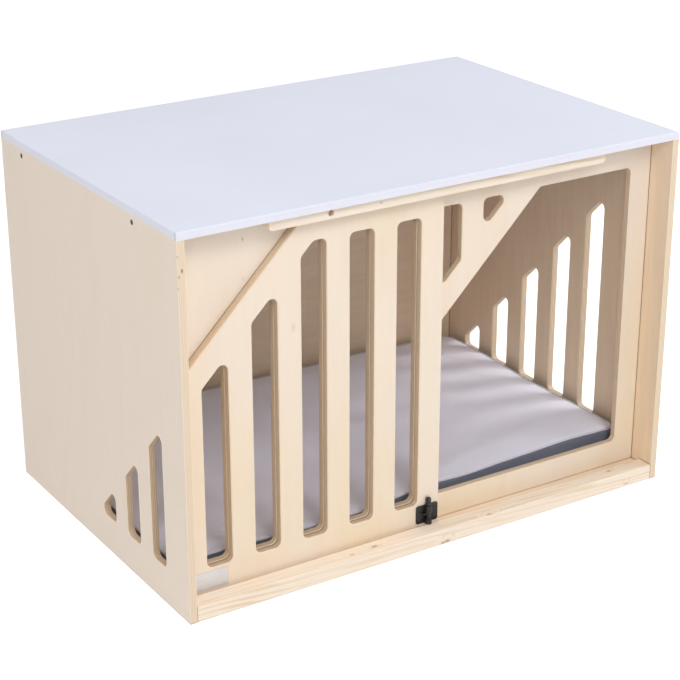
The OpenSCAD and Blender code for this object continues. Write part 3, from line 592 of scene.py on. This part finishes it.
def screw_place(corners):
    """Head end, way from head to tip, length and head radius of a screw's corners."""
    low = Vector([min(c[i] for c in corners) for i in range(3)])
    high = Vector([max(c[i] for c in corners) for i in range(3)])
    span = high - low
    axis = max(range(3), key=lambda i: span[i])
    centre = (low + high) / 2

    def girth(end):
        near = [c for c in corners if abs(c[axis] - end) < span[axis] * 0.2]
        return max(math.dist([c[i] for i in range(3) if i != axis],
                             [centre[i] for i in range(3) if i != axis]) for c in near)

    at_low = girth(low[axis]) > girth(high[axis])
    head = centre.copy()
    head[axis] = low[axis] if at_low else high[axis]
    way = Vector((0, 0, 0))
    way[axis] = 1.0 if at_low else -1.0
    radius = min(span[i] for i in range(3) if i != axis) / 2
    return head, way, span[axis], radius


# Plain screws of the frame: radius of the shank, height of the head, and if the head is domed
PANEL_SCREW = (0.002, 0.00225, False)
BRACKET_SCREW = (0.0016, 0.0018, True)
LATCH_SCREW = (0.0014, 0.0014, True)

# Reach and depth of the drive recess as shares of the head's radius, half the width of its arms
# as a share of that reach, and its width at the bottom as a share of that at the top
RECESS = 0.6
RECESS_ARM = 0.26
RECESS_TAPER = 0.55

# Angles of the rings of a domed head, from its middle to its rim
DOME = (0.0, 0.35, 0.7, 1.05, 1.45)


def cross_cutter(size):
    """Tapered cross that cuts a drive recess."""
    arm = size * RECESS_ARM
    corner = [(size, -arm), (size, arm), (arm, arm)]
    outline = []
    for _ in range(4):
        outline += corner
        corner = [(-y, x) for x, y in corner]
    bm = bmesh.new()
    face = bm.faces.new([bm.verts.new((x, y, -size)) for x, y in outline])
    tips = bmesh.ops.extrude_face_region(bm, geom=[face])["geom"]
    tips = [item for item in tips if isinstance(item, bmesh.types.BMVert)]
    bmesh.ops.translate(bm, vec=(0, 0, size * 2), verts=tips)
    bmesh.ops.scale(bm, vec=(RECESS_TAPER, RECESS_TAPER, 1.0), verts=tips)
    return mesh_of(bm)


def screw_mesh(long, radius, shank, head, domed):
    """One screw along +Z with its head's top at zero and a cross recess in it."""
    if domed:
        profile = [(radius * math.sin(a) / math.sin(DOME[-1]),
                    head * (1 - math.cos(a)) / (1 - math.cos(DOME[-1]))) for a in DOME]
        profile += [(radius, head), (shank, head)]
    else:
        profile = [(0, 0), (radius * 0.96, 0), (radius, radius * 0.04), (shank, head)]
    profile += [(shank, long - shank), (shank * 0.25, long), (0, long)]
    bm = bmesh.new()
    verts = [bm.verts.new((r, 0, z)) for r, z in profile]
    edges = [bm.edges.new(pair) for pair in zip(verts, verts[1:])]
    bmesh.ops.spin(bm, geom=verts + edges, cent=(0, 0, 0), axis=(0, 0, 1), angle=math.tau,
                   steps=24, use_merge=True)
    bmesh.ops.remove_doubles(bm, verts=bm.verts, dist=1e-6)
    body = mesh_of(bm)
    cutter = bpy.data.objects.new("cutter", cross_cutter(radius * RECESS))
    bpy.context.scene.collection.objects.link(cutter)
    result = with_modifier(body, "BOOLEAN", operation="DIFFERENCE", object=cutter, solver="EXACT")
    bpy.data.objects.remove(cutter)
    if len(result.vertices) <= len(body.vertices):
        raise RuntimeError("the drive recess was not cut")
    bm = bmesh.new()
    bm.from_mesh(result)
    bmesh.ops.dissolve_limit(bm, angle_limit=math.radians(0.5), verts=bm.verts, edges=bm.edges)
    bmesh.ops.triangulate(bm, faces=bm.faces, ngon_method="BEAUTY")
    bmesh.ops.dissolve_degenerate(bm, dist=1e-6, edges=bm.edges)
    return mesh_of(bm)


def make_screws(name, node, body, material, slot, form):
    """Screws with drive recesses in the places of a CAD node's plain ones, each turned anew."""
    bm = bmesh.new()
    one = None
    for number, corners in enumerate(solids(node)):
        top, way, long, radius = screw_place(corners)
        if one is None:
            one = screw_mesh(long, radius, *form)
        fresh = bmesh.new()
        fresh.from_mesh(one)
        turn = way.to_track_quat("Z", "Y").to_matrix().to_4x4()
        spin = Matrix.Rotation(0.5 + 1.9 * number, 4, "Z")
        matrix = Matrix.Translation(top) @ turn @ spin
        bmesh.ops.transform(fresh, matrix=matrix, verts=fresh.verts)
        part = bpy.data.meshes.new("part")
        fresh.to_mesh(part)
        fresh.free()
        bm.from_mesh(part)
        bpy.data.meshes.remove(part)
    mesh = bpy.data.meshes.new(name)
    bm.to_mesh(mesh)
    bm.free()
    piece = place_piece(name, mesh, material, body, smooth=False)
    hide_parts(node)
    return piece


# Height of the filled cover over the floor along each side, at shares of the side's length from
# the left or from the front
FRONT_RIM = (
    (0.0, 0.045), (0.06, 0.0445), (0.17, 0.042), (0.24, 0.036), (0.37, 0.035), (0.43, 0.0375),
    (0.48, 0.0435), (0.55, 0.0485), (0.62, 0.0465), (0.7, 0.0505), (0.8, 0.0555), (0.86, 0.0575),
    (0.95, 0.057), (1.0, 0.056),
)
REAR_RIM = (
    (0.0, 0.058), (0.2, 0.062), (0.39, 0.065), (0.5, 0.063), (0.62, 0.0605), (0.75, 0.061),
    (0.86, 0.0565), (0.97, 0.053), (1.0, 0.052),
)
LEFT_RIM = ((0.0, 0.045), (0.08, 0.03), (0.35, 0.027), (0.6, 0.029), (0.8, 0.042), (1.0, 0.058))
RIGHT_RIM = (
    (0.0, 0.056), (0.2, 0.0555), (0.5, 0.055), (0.65, 0.057), (0.85, 0.0555), (1.0, 0.052),
)

# Where the block and the finished cushion stand over the floor, how far the cushion may leave its
# CAD box, how far the seam holds the cover to each side, and the steps and pressure of the filling
BLOCK_LIFT = 0.0006
REST_LIFT = 0.0004
SIDE_ROOM = 0.0035
SEAM_REACH = 0.004
FILL_STEPS = 20
FILL_PRESSURE = 4.0

# The crown of the cover as a share of its height over the seam, and its unevenness: the height,
# the waves along and across it, and where the pattern is read
CROWN = 0.3
RIPPLES = ((0.0014, 4.1, 2.9, 0.3), (0.0005, 15.0, 9.0, 1.3))

# How many points of the cover carry a place of the welt, and how often the welt is smoothed
WELT_CARRIERS = 5
WELT_SMOOTHINGS = 4


def smooth_through(points, at):
    """Height at a share of the way along a smooth line through points."""
    i = 1
    while i < len(points) - 1 and points[i][0] < at:
        i += 1
    before, after = points[max(i - 2, 0)], points[min(i + 1, len(points) - 1)]
    (x1, y1), (x2, y2) = points[i - 1], points[i]
    slope1 = (y2 - before[1]) / (x2 - before[0]) * (x2 - x1)
    slope2 = (after[1] - y1) / (after[0] - x1) * (x2 - x1)
    t = min(1.0, max(0.0, (at - x1) / (x2 - x1)))
    first = (2 * t - 3) * t * t + 1
    return (first * y1 + (1 - first) * y2
            + ((t - 2) * t + 1) * t * slope1 + (t - 1) * t * t * slope2)


def cover_height(u, v):
    """Height of the cover over the floor at shares of its length and depth."""
    ends = ((1 - u) * FRONT_RIM[0][1] + u * FRONT_RIM[-1][1],
            (1 - u) * REAR_RIM[0][1] + u * REAR_RIM[-1][1])
    along = (1 - v) * (smooth_through(FRONT_RIM, u) - ends[0])
    along += v * (smooth_through(REAR_RIM, u) - ends[1])
    return along + (1 - u) * smooth_through(LEFT_RIM, v) + u * smooth_through(RIGHT_RIM, v)


def block_corners(low, high, sizes):
    """Corners of the block that the filling swells."""
    start = sizes.cushion_start
    top = low.z + sizes.cushion_seam
    return (Vector((low.x + start, low.y + start, low.z + BLOCK_LIFT)),
            Vector((high.x - start, high.y - start, top)))


def cushion_block(low, high, sizes):
    """Rounded block of even faces."""
    bm = box_bmesh(*block_corners(low, high, sizes))
    round_edges(bm, sizes.cushion_corner, 6, edge_along("Z"))
    bm.normal_update()

    def rim(edge):
        flat = abs(edge.verts[0].co.z - edge.verts[1].co.z) < 1e-6
        return flat and len({round(face.normal.z) for face in edge.link_faces}) > 1

    round_edges(bm, sizes.cushion_rim, 3, rim)
    return with_modifier(mesh_of(bm), "REMESH", mode="VOXEL", voxel_size=sizes.cushion_voxel,
                         adaptivity=0.0)


def mark_seam(mesh, low, high, sizes):
    """Keeps each point's place over the seam and inwards from the rim, for the fabric."""
    first, last = block_corners(low, high, sizes)
    middle, half = (first + last) / 2, (last - first) / 2
    corner = sizes.cushion_corner
    over = mesh.attributes.new("over_seam", "FLOAT", "POINT").data
    from_rim = mesh.attributes.new("from_rim", "FLOAT", "POINT").data
    for vert, over_mark, rim_mark in zip(mesh.vertices, over, from_rim):
        out_x = abs(vert.co.x - middle.x) - half.x + corner
        out_y = abs(vert.co.y - middle.y) - half.y + corner
        outside = math.hypot(max(out_x, 0.0), max(out_y, 0.0)) + min(max(out_x, out_y), 0.0)
        rim_mark.value = corner - outside
        over_mark.value = vert.co.z - last.z + min(rim_mark.value, sizes.cushion_rim)


def shape_cushion(mesh, low, high, sizes):
    """Crowns the top, pulls the sides in and gives the rim its uneven heights."""
    span = high - low
    crown = (span.z - sizes.cushion_seam) * CROWN
    for vert in mesh.vertices:
        right, back = (vert.co.x - low.x) / span.x, (vert.co.y - low.y) / span.y
        u, v = 2 * right - 1, 2 * back - 1
        rise = min(1.0, max(0.0, (vert.co.z - low.z) / sizes.cushion_seam))
        vert.co.x -= sizes.cushion_draw * u * (1 - v * v) * rise
        vert.co.y -= sizes.cushion_draw * min(v, 0.0) * (1 - u * u) * rise
        lift = cover_height(right, back) - sizes.cushion_seam
        lift += crown * (1 - u ** 6) * (1 - v ** 4)
        for height, along, across, at in RIPPLES:
            lift += height * noise.noise(Vector((u * along, v * across, at)))
        vert.co.z += lift * rise ** 2


def fill_cushion(mesh, sizes):
    """Swells the cover by cloth simulation between its seams, each point up to a limit."""
    before = [vert.co.copy() for vert in mesh.vertices]
    marks = mesh.attributes["over_seam"].data
    seam = [i for i, mark in enumerate(marks) if abs(mark.value) < SEAM_REACH]
    holder = bpy.data.objects.new("cover", mesh)
    holder.vertex_groups.new(name="seam").add(seam, 1.0, "REPLACE")
    scene = bpy.context.scene
    scene.collection.objects.link(holder)
    cloth = holder.modifiers.new("filling", "CLOTH")
    cloth.settings.quality = 5
    cloth.settings.vertex_group_mass = "seam"
    cloth.settings.use_pressure = True
    cloth.settings.uniform_pressure_force = FILL_PRESSURE
    cloth.settings.effector_weights.gravity = 0.0
    cloth.collision_settings.use_collision = False
    cloth.point_cache.frame_start = 1
    cloth.point_cache.frame_end = FILL_STEPS
    for number in range(1, FILL_STEPS + 1):
        scene.frame_set(number)
    graph = bpy.context.evaluated_depsgraph_get()
    swollen = bpy.data.meshes.new_from_object(holder.evaluated_get(graph))
    bpy.data.objects.remove(holder)
    scene.frame_set(1)
    for vert, old in zip(swollen.vertices, before):
        step = vert.co - old
        if step.length > sizes.cushion_swell:
            step *= sizes.cushion_swell / step.length
        vert.co = old + step
    return swollen


def rest_cushion(mesh, low, high):
    """Sets the cushion on the floor and keeps it off the panels."""
    for vert in mesh.vertices:
        vert.co.x = min(max(vert.co.x, low.x - SIDE_ROOM), high.x + SIDE_ROOM)
        vert.co.y = min(max(vert.co.y, low.y - SIDE_ROOM), high.y + SIDE_ROOM)
        vert.co.z = max(vert.co.z, low.z + REST_LIFT)


def seam_ring(block, height):
    """Places, in order, where the surface of the block crosses a height."""
    bm = bmesh.new()
    bm.from_mesh(block)
    everything = bm.verts[:] + bm.edges[:] + bm.faces[:]
    cut = bmesh.ops.bisect_plane(bm, geom=everything, dist=1e-6, plane_co=(0, 0, height),
                                 plane_no=(0, 0, 1))["geom_cut"]
    edges = [item for item in cut if isinstance(item, bmesh.types.BMEdge)]
    vert = min(edges, key=lambda edge: edge.verts[0].co.x).verts[0]
    left, ring = set(edges), []
    while True:
        ring.append(vert.co.copy())
        ahead = [edge for edge in vert.link_edges if edge in left]
        if not ahead:
            break
        left.discard(ahead[0])
        vert = ahead[0].other_vert(vert)
    bm.free()
    return ring


def follow(places, before, after):
    """Moves places with a mesh that went from one shape to another."""
    tree = KDTree(len(before))
    for i, co in enumerate(before):
        tree.insert(co, i)
    tree.balance()
    moved = []
    for place in places:
        near = tree.find_n(place, WELT_CARRIERS)
        weights = [1 / (distance + 1e-4) for _, _, distance in near]
        steps = [(after[i] - before[i]) * w for (_, i, _), w in zip(near, weights)]
        moved.append(place + sum(steps, Vector()) / sum(weights))
    for _ in range(WELT_SMOOTHINGS):
        moved = [(moved[i - 1] + moved[i] * 2 + moved[(i + 1) % len(moved)]) / 4
                 for i in range(len(moved))]
    return moved


def round_cord(places, radius):
    """Closed round cord through places."""
    curve = bpy.data.curves.new("seam", "CURVE")
    curve.dimensions = "3D"
    curve.bevel_depth = radius
    curve.bevel_resolution = 3
    spline = curve.splines.new("POLY")
    spline.points.add(len(places) - 1)
    for point, place in zip(spline.points, places):
        point.co = (*place, 1.0)
    spline.use_cyclic_u = True
    holder = bpy.data.objects.new("seam", curve)
    bpy.context.scene.collection.objects.link(holder)
    bpy.context.view_layer.update()
    graph = bpy.context.evaluated_depsgraph_get()
    mesh = bpy.data.meshes.new_from_object(holder.evaluated_get(graph))
    bpy.data.objects.remove(holder)
    return mesh


# Operators


class CRATE_OT_plywood(bpy.types.Operator):
    """Gives every plywood panel its veneer and its bare plies"""

    bl_idname = "crate.plywood"
    bl_label = "Plywood panels"

    def execute(self, context):
        # Marks: place, radius and share
        pins = ((-0.3197, -0.2505, 0.5622, 0.0028, 0.3), (-0.3199, -0.2505, 0.5019, 0.003, 0.14))
        edge_knots = (
            (-0.443, -0.3, 0.5542, 0.0024, 0.75), (-0.4478, -0.3, 0.546, 0.0016, 0.6),
            (-0.4495, -0.3, 0.5755, 0.0014, 0.45), (-0.4495, -0.3, 0.529, 0.0014, 0.4),
        )
        blot = ((-0.2456, -0.2635, 0.4159, 0.0055, 0.13),)
        # Sheets: the axis across them, the way of their grain, where their pattern starts, their
        # marks, the side of the cabin that takes a painted shade, and how strongly they take a
        # painted warm bounce light near the ground and their figure
        sheets = (
            ("left_side_panel", "X", "Z", 0.37, edge_knots, 1, 0.0),
            ("right_side_panel", "X", "Z", 2.9, (), -1, 0.5),
            ("back_panel", "Y", "X", 5.1, (), -1, 0.3),
            ("floor_panel", "Z", "X", 7.7, (), 1, 0.0),
            ("front_panel", "Y", "Z", 1.3, pins, 1, 1.0),
            ("sliding_door", "Y", "Z", 3.3, blot, 0, 1.0),
        )
        for node, across, *figure in sheets:
            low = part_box(node)[0]["XYZ".index(across)]
            dress(birch_plywood(node + "_birch", across, low, *figure), node)
        return {"FINISHED"}


class CRATE_OT_top(bpy.types.Operator):
    """Gives the top board its white facing"""

    bl_idname = "crate.top"
    bl_label = "Top board"

    def execute(self, context):
        dress(white_facing(*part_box("top_board")), "top_board")
        return {"FINISHED"}


class CRATE_OT_laths(bpy.types.Operator):
    """Gives the laths, cleats and skids their pine, and the dowels their beech"""

    bl_idname = "crate.laths"
    bl_label = "Laths and dowels"

    def execute(self, context):
        # Knots: place, radius and share
        low_knots = (
            (0.0995, -0.2961, 0.0265, 0.0035, 0.4), (0.3624, -0.2798, 0.0265, 0.0034, 0.45),
            (0.4137, -0.2717, 0.0265, 0.003, 0.4), (-0.1165, -0.2865, 0.0265, 0.0042, 0.5),
            (-0.1602, -0.2897, 0.0265, 0.0028, 0.4), (0.0141, -0.3, 0.0045, 0.0035, 0.55),
            (0.0061, -0.3, 0.0035, 0.003, 0.5), (0.3846, -0.3, 0.0056, 0.0024, 0.3),
        )
        high_knots = ((-0.11, -0.2885, 0.589, 0.0018, 0.4),)
        dress(pine_wood("bottom_lath_pine", "X", 0.4, low_knots), "bottom_lath")
        dress(pine_wood("top_lath_pine", "X", 1.9, high_knots), "top_lath")
        dress(pine_wood("cleat_pine", "Y", 3.1), "left_top_cleat", "right_top_cleat")
        dress(pine_wood("skid_pine", "Y", 4.7), "left_floor_batten", "middle_floor_batten",
              "right_floor_batten")
        dress(turned_beech(), "floor_dowels", "front_panel_dowels", "back_panel_dowels",
              "top_lath_dowels")
        return {"FINISHED"}


class CRATE_OT_fittings(bpy.types.Operator):
    """Makes the screws and gives the steel its finishes"""

    bl_idname = "crate.fittings"
    bl_label = "Screws, brackets and latch"

    def execute(self, context):
        colours = context.scene.crate_colours
        zinc = steel("zinc_plated", colours.zinc[:], 0.25, 0.42, 1.0)
        blued = steel("blued_steel", colours.blued[:], 0.4, 0.55, 0.4)
        black = steel("black_coated", colours.black[:], 0.34, 0.5, 0.0, wear=0.25)
        dress(zinc, "corner_brackets")
        dress(black, "latch_plate", "latch_bolt", "latch_knob")
        sets = (
            ("side_screw_set", "side_screws", "crate", blued, "zinc_steel", PANEL_SCREW),
            ("top_board_screw_set", "top_board_screws", "crate", zinc, "zinc_steel", PANEL_SCREW),
            ("floor_screw_set", "floor_screws", "crate", zinc, "zinc_steel", PANEL_SCREW),
            ("bracket_screw_set", "bracket_screws", "crate", zinc, "zinc_steel", BRACKET_SCREW),
            ("latch_screw_set", "latch_screws", "door", black, "black_steel", LATCH_SCREW),
        )
        for screws in sets:
            make_screws(*screws)
        return {"FINISHED"}


class CRATE_OT_plate(bpy.types.Operator):
    """Makes the bare metal plate on the door"""

    bl_idname = "crate.plate"
    bl_label = "Bare plate"

    def execute(self, context):
        sizes = context.scene.crate_sizes
        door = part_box("sliding_door")[0]
        low = Vector((door.x + sizes.plate_left, door.y - sizes.plate_depth,
                      door.z + sizes.plate_rise))
        high = Vector((low.x + sizes.plate_width, door.y, low.z + sizes.plate_height))
        bm = box_bmesh(low, high)
        round_edges(bm, sizes.plate_corner, 4, edge_along("Y"))

        def front(edge):
            return all(abs(vert.co.y - low.y) < 1e-7 for vert in edge.verts)

        round_edges(bm, 0.00025, 2, front)
        place_piece("bare_plate", mesh_of(bm), plate_metal(), "door", smooth=False)
        return {"FINISHED"}


class CRATE_OT_cushion(bpy.types.Operator):
    """Makes the filled cushion and its welt"""

    bl_idname = "crate.cushion"
    bl_label = "Cushion"

    def execute(self, context):
        sizes, colours = context.scene.crate_sizes, context.scene.crate_colours
        low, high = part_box("cushion_cover")
        mesh = cushion_block(low, high, sizes)
        mark_seam(mesh, low, high, sizes)
        before = [vert.co.copy() for vert in mesh.vertices]
        ring = seam_ring(mesh, low.z + sizes.cushion_seam - 0.3 * sizes.cushion_rim)
        shape_cushion(mesh, low, high, sizes)
        mesh = fill_cushion(mesh, sizes)
        rest_cushion(mesh, low, high)
        ring = follow(ring, before, [vert.co.copy() for vert in mesh.vertices])
        welt = round_cord(ring, sizes.welt_radius)
        mesh = with_modifier(mesh, "SUBSURF", levels=1, render_levels=1)
        cushion = place_piece("cushion", mesh, cushion_fabric(), "crate")
        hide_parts("cushion_cover", "cushion_core")
        thread = woven("welt_thread", colours.welt[:])
        place_piece("cushion_welt", welt, thread, "crate")
        return {"FINISHED"}


# Lamps: name, place, what they look at, size and power
LAMPS = (
    ("key", (-1.6, -3.4, 2.6), (0, 0, 0.3), (2.6, 2.0), 38.0),
    ("high", (-0.3, -3.0, 3.2), (0, 0, 0.3), (1.4, 1.4), 34.0),
    ("low", (-0.6, -3.6, 0.8), (0, 0, 0.3), (1.6, 1.0), 4.0),
    ("side", (-3.6, -1.2, 1.6), (0, 0, 0.3), (2.0, 2.0), 23.0),
    ("over", (-1.6, 0.4, 3.0), (0, 0, 0.5), (2.0, 2.0), 16.0),
    ("right", (3.2, -0.6, 1.5), (0, 0, 0.3), (1.0, 1.0), 56.0),
    ("slots", (3.2, -2.1, 2.1), (0.1, 0.05, 0.1), (0.5, 0.5), 18.0),
)

# The camera's place, the ways to its right and up, its lens and its shift
CAMERA_PLACE = (-1.5261, -2.3991, 1.4234)
CAMERA_RIGHT = (0.84942, -0.52768, -0.00645)
CAMERA_UP = (0.20898, 0.32512, 0.92229)
CAMERA_LENS = 97.64
CAMERA_SHIFT = (0.0356, 0.0146)

# The floor's reach to each side, its drop under the crate and its glow, and the world's light
FLOOR_REACH = 30.0
FLOOR_DROP = 0.0004
FLOOR_GLOW = 0.62
WORLD_LIGHT = 0.37


def area_light(name, place, target, size, power):
    """Adds a soft lamp that looks at a place."""
    data = bpy.data.lights.new(name, "AREA")
    data.shape = "RECTANGLE"
    data.size, data.size_y = size
    data.energy = power
    lamp = bpy.data.objects.new(name, data)
    lamp.location = place
    lamp.rotation_euler = (Vector(target) - Vector(place)).to_track_quat("-Z", "Y").to_euler()
    bpy.context.scene.collection.objects.link(lamp)


def studio_floor():
    """Adds a white floor that keeps the crate's shadow."""
    bm = bmesh.new()
    bmesh.ops.create_grid(bm, x_segments=2, y_segments=2, size=FLOOR_REACH)
    bmesh.ops.translate(bm, vec=(0, 0, -FLOOR_DROP), verts=bm.verts)
    mesh = bpy.data.meshes.new("studio_floor")
    bm.to_mesh(mesh)
    bm.free()
    floor = bpy.data.objects.new("studio_floor", mesh)
    bpy.context.scene.collection.objects.link(floor)
    f = Finish("floor_white", Roughness=0.9, Specular_IOR_Level=0.0)
    rays = f.node("LightPath").outputs
    seen = f.calc("MAXIMUM", rays["Is Camera Ray"],
                  f.calc("MAXIMUM", rays["Is Glossy Ray"], rays["Is Transmission Ray"]))
    f.put(f.shader, "Base Color", (0.8, 0.8, 0.8))
    f.put(f.shader, "Emission Color", (1.0, 1.0, 1.0))
    f.put(f.shader, "Emission Strength", f.calc("MULTIPLY", seen, FLOOR_GLOW))
    mesh.materials.append(f.material)


def studio_world():
    """Sets a world that lights the crate softly and looks white to the camera and to metal."""
    world = bpy.data.worlds.new("studio")
    world.use_nodes = True
    bpy.context.scene.world = world
    tree = world.node_tree
    background = tree.nodes["Background"]
    path = tree.nodes.new("ShaderNodeLightPath")
    either = tree.nodes.new("ShaderNodeMath")
    either.operation = "MAXIMUM"
    tree.links.new(path.outputs["Is Camera Ray"], either.inputs[0])
    tree.links.new(path.outputs["Is Glossy Ray"], either.inputs[1])
    strength = tree.nodes.new("ShaderNodeMapRange")
    strength.inputs["To Min"].default_value = WORLD_LIGHT
    strength.inputs["To Max"].default_value = 1.0
    tree.links.new(either.outputs[0], strength.inputs["Value"])
    tree.links.new(strength.outputs[0], background.inputs["Strength"])
    background.inputs["Color"].default_value = (1.0, 1.0, 1.0, 1.0)


def studio_camera():
    """Adds the camera."""
    data = bpy.data.cameras.new("camera")
    data.lens = CAMERA_LENS
    data.sensor_width = 36.0
    data.shift_x, data.shift_y = CAMERA_SHIFT
    camera = bpy.data.objects.new("camera", data)
    right, up = Vector(CAMERA_RIGHT), Vector(CAMERA_UP)
    turn = Matrix((right, up, right.cross(up))).transposed().to_4x4()
    camera.matrix_world = Matrix.Translation(CAMERA_PLACE) @ turn
    bpy.context.scene.collection.objects.link(camera)
    bpy.context.scene.camera = camera


class CRATE_OT_stage(bpy.types.Operator):
    """Sets up the floor, the world, the lamps and the camera"""

    bl_idname = "crate.stage"
    bl_label = "Studio"

    def execute(self, context):
        studio_floor()
        studio_world()
        for lamp in LAMPS:
            area_light(*lamp)
        studio_camera()
        context.scene.view_settings.view_transform = "Standard"
        return {"FINISHED"}


STEPS = (
    CRATE_OT_stage, CRATE_OT_plywood, CRATE_OT_top, CRATE_OT_laths, CRATE_OT_fittings,
    CRATE_OT_plate, CRATE_OT_cushion,
)


class CRATE_PT_panel(bpy.types.Panel):
    """Lists the steps that dress the crate"""

    bl_idname = "CRATE_PT_panel"
    bl_label = "Dog Crate"
    bl_space_type = "VIEW_3D"
    bl_region_type = "UI"
    bl_category = "Dog Crate"

    def draw(self, context):
        for step in STEPS:
            self.layout.operator(step.bl_idname)
        for group in (context.scene.crate_sizes, context.scene.crate_colours):
            box = self.layout.box()
            for name in group.__annotations__:
                box.prop(group, name)


CLASSES = (CrateSizes, CrateColours, *STEPS, CRATE_PT_panel)


def register():
    for cls in CLASSES:
        bpy.utils.register_class(cls)
    bpy.types.Scene.crate_sizes = bpy.props.PointerProperty(type=CrateSizes)
    bpy.types.Scene.crate_colours = bpy.props.PointerProperty(type=CrateColours)


def unregister():
    del bpy.types.Scene.crate_colours
    del bpy.types.Scene.crate_sizes
    for cls in reversed(CLASSES):
        bpy.utils.unregister_class(cls)


def main():
    register()
    bpy.ops.crate.stage()
    bpy.ops.crate.plywood()
    bpy.ops.crate.top()
    bpy.ops.crate.laths()
    bpy.ops.crate.fittings()
    bpy.ops.crate.plate()
    bpy.ops.crate.cushion()


if __name__ == "__main__":
    main()
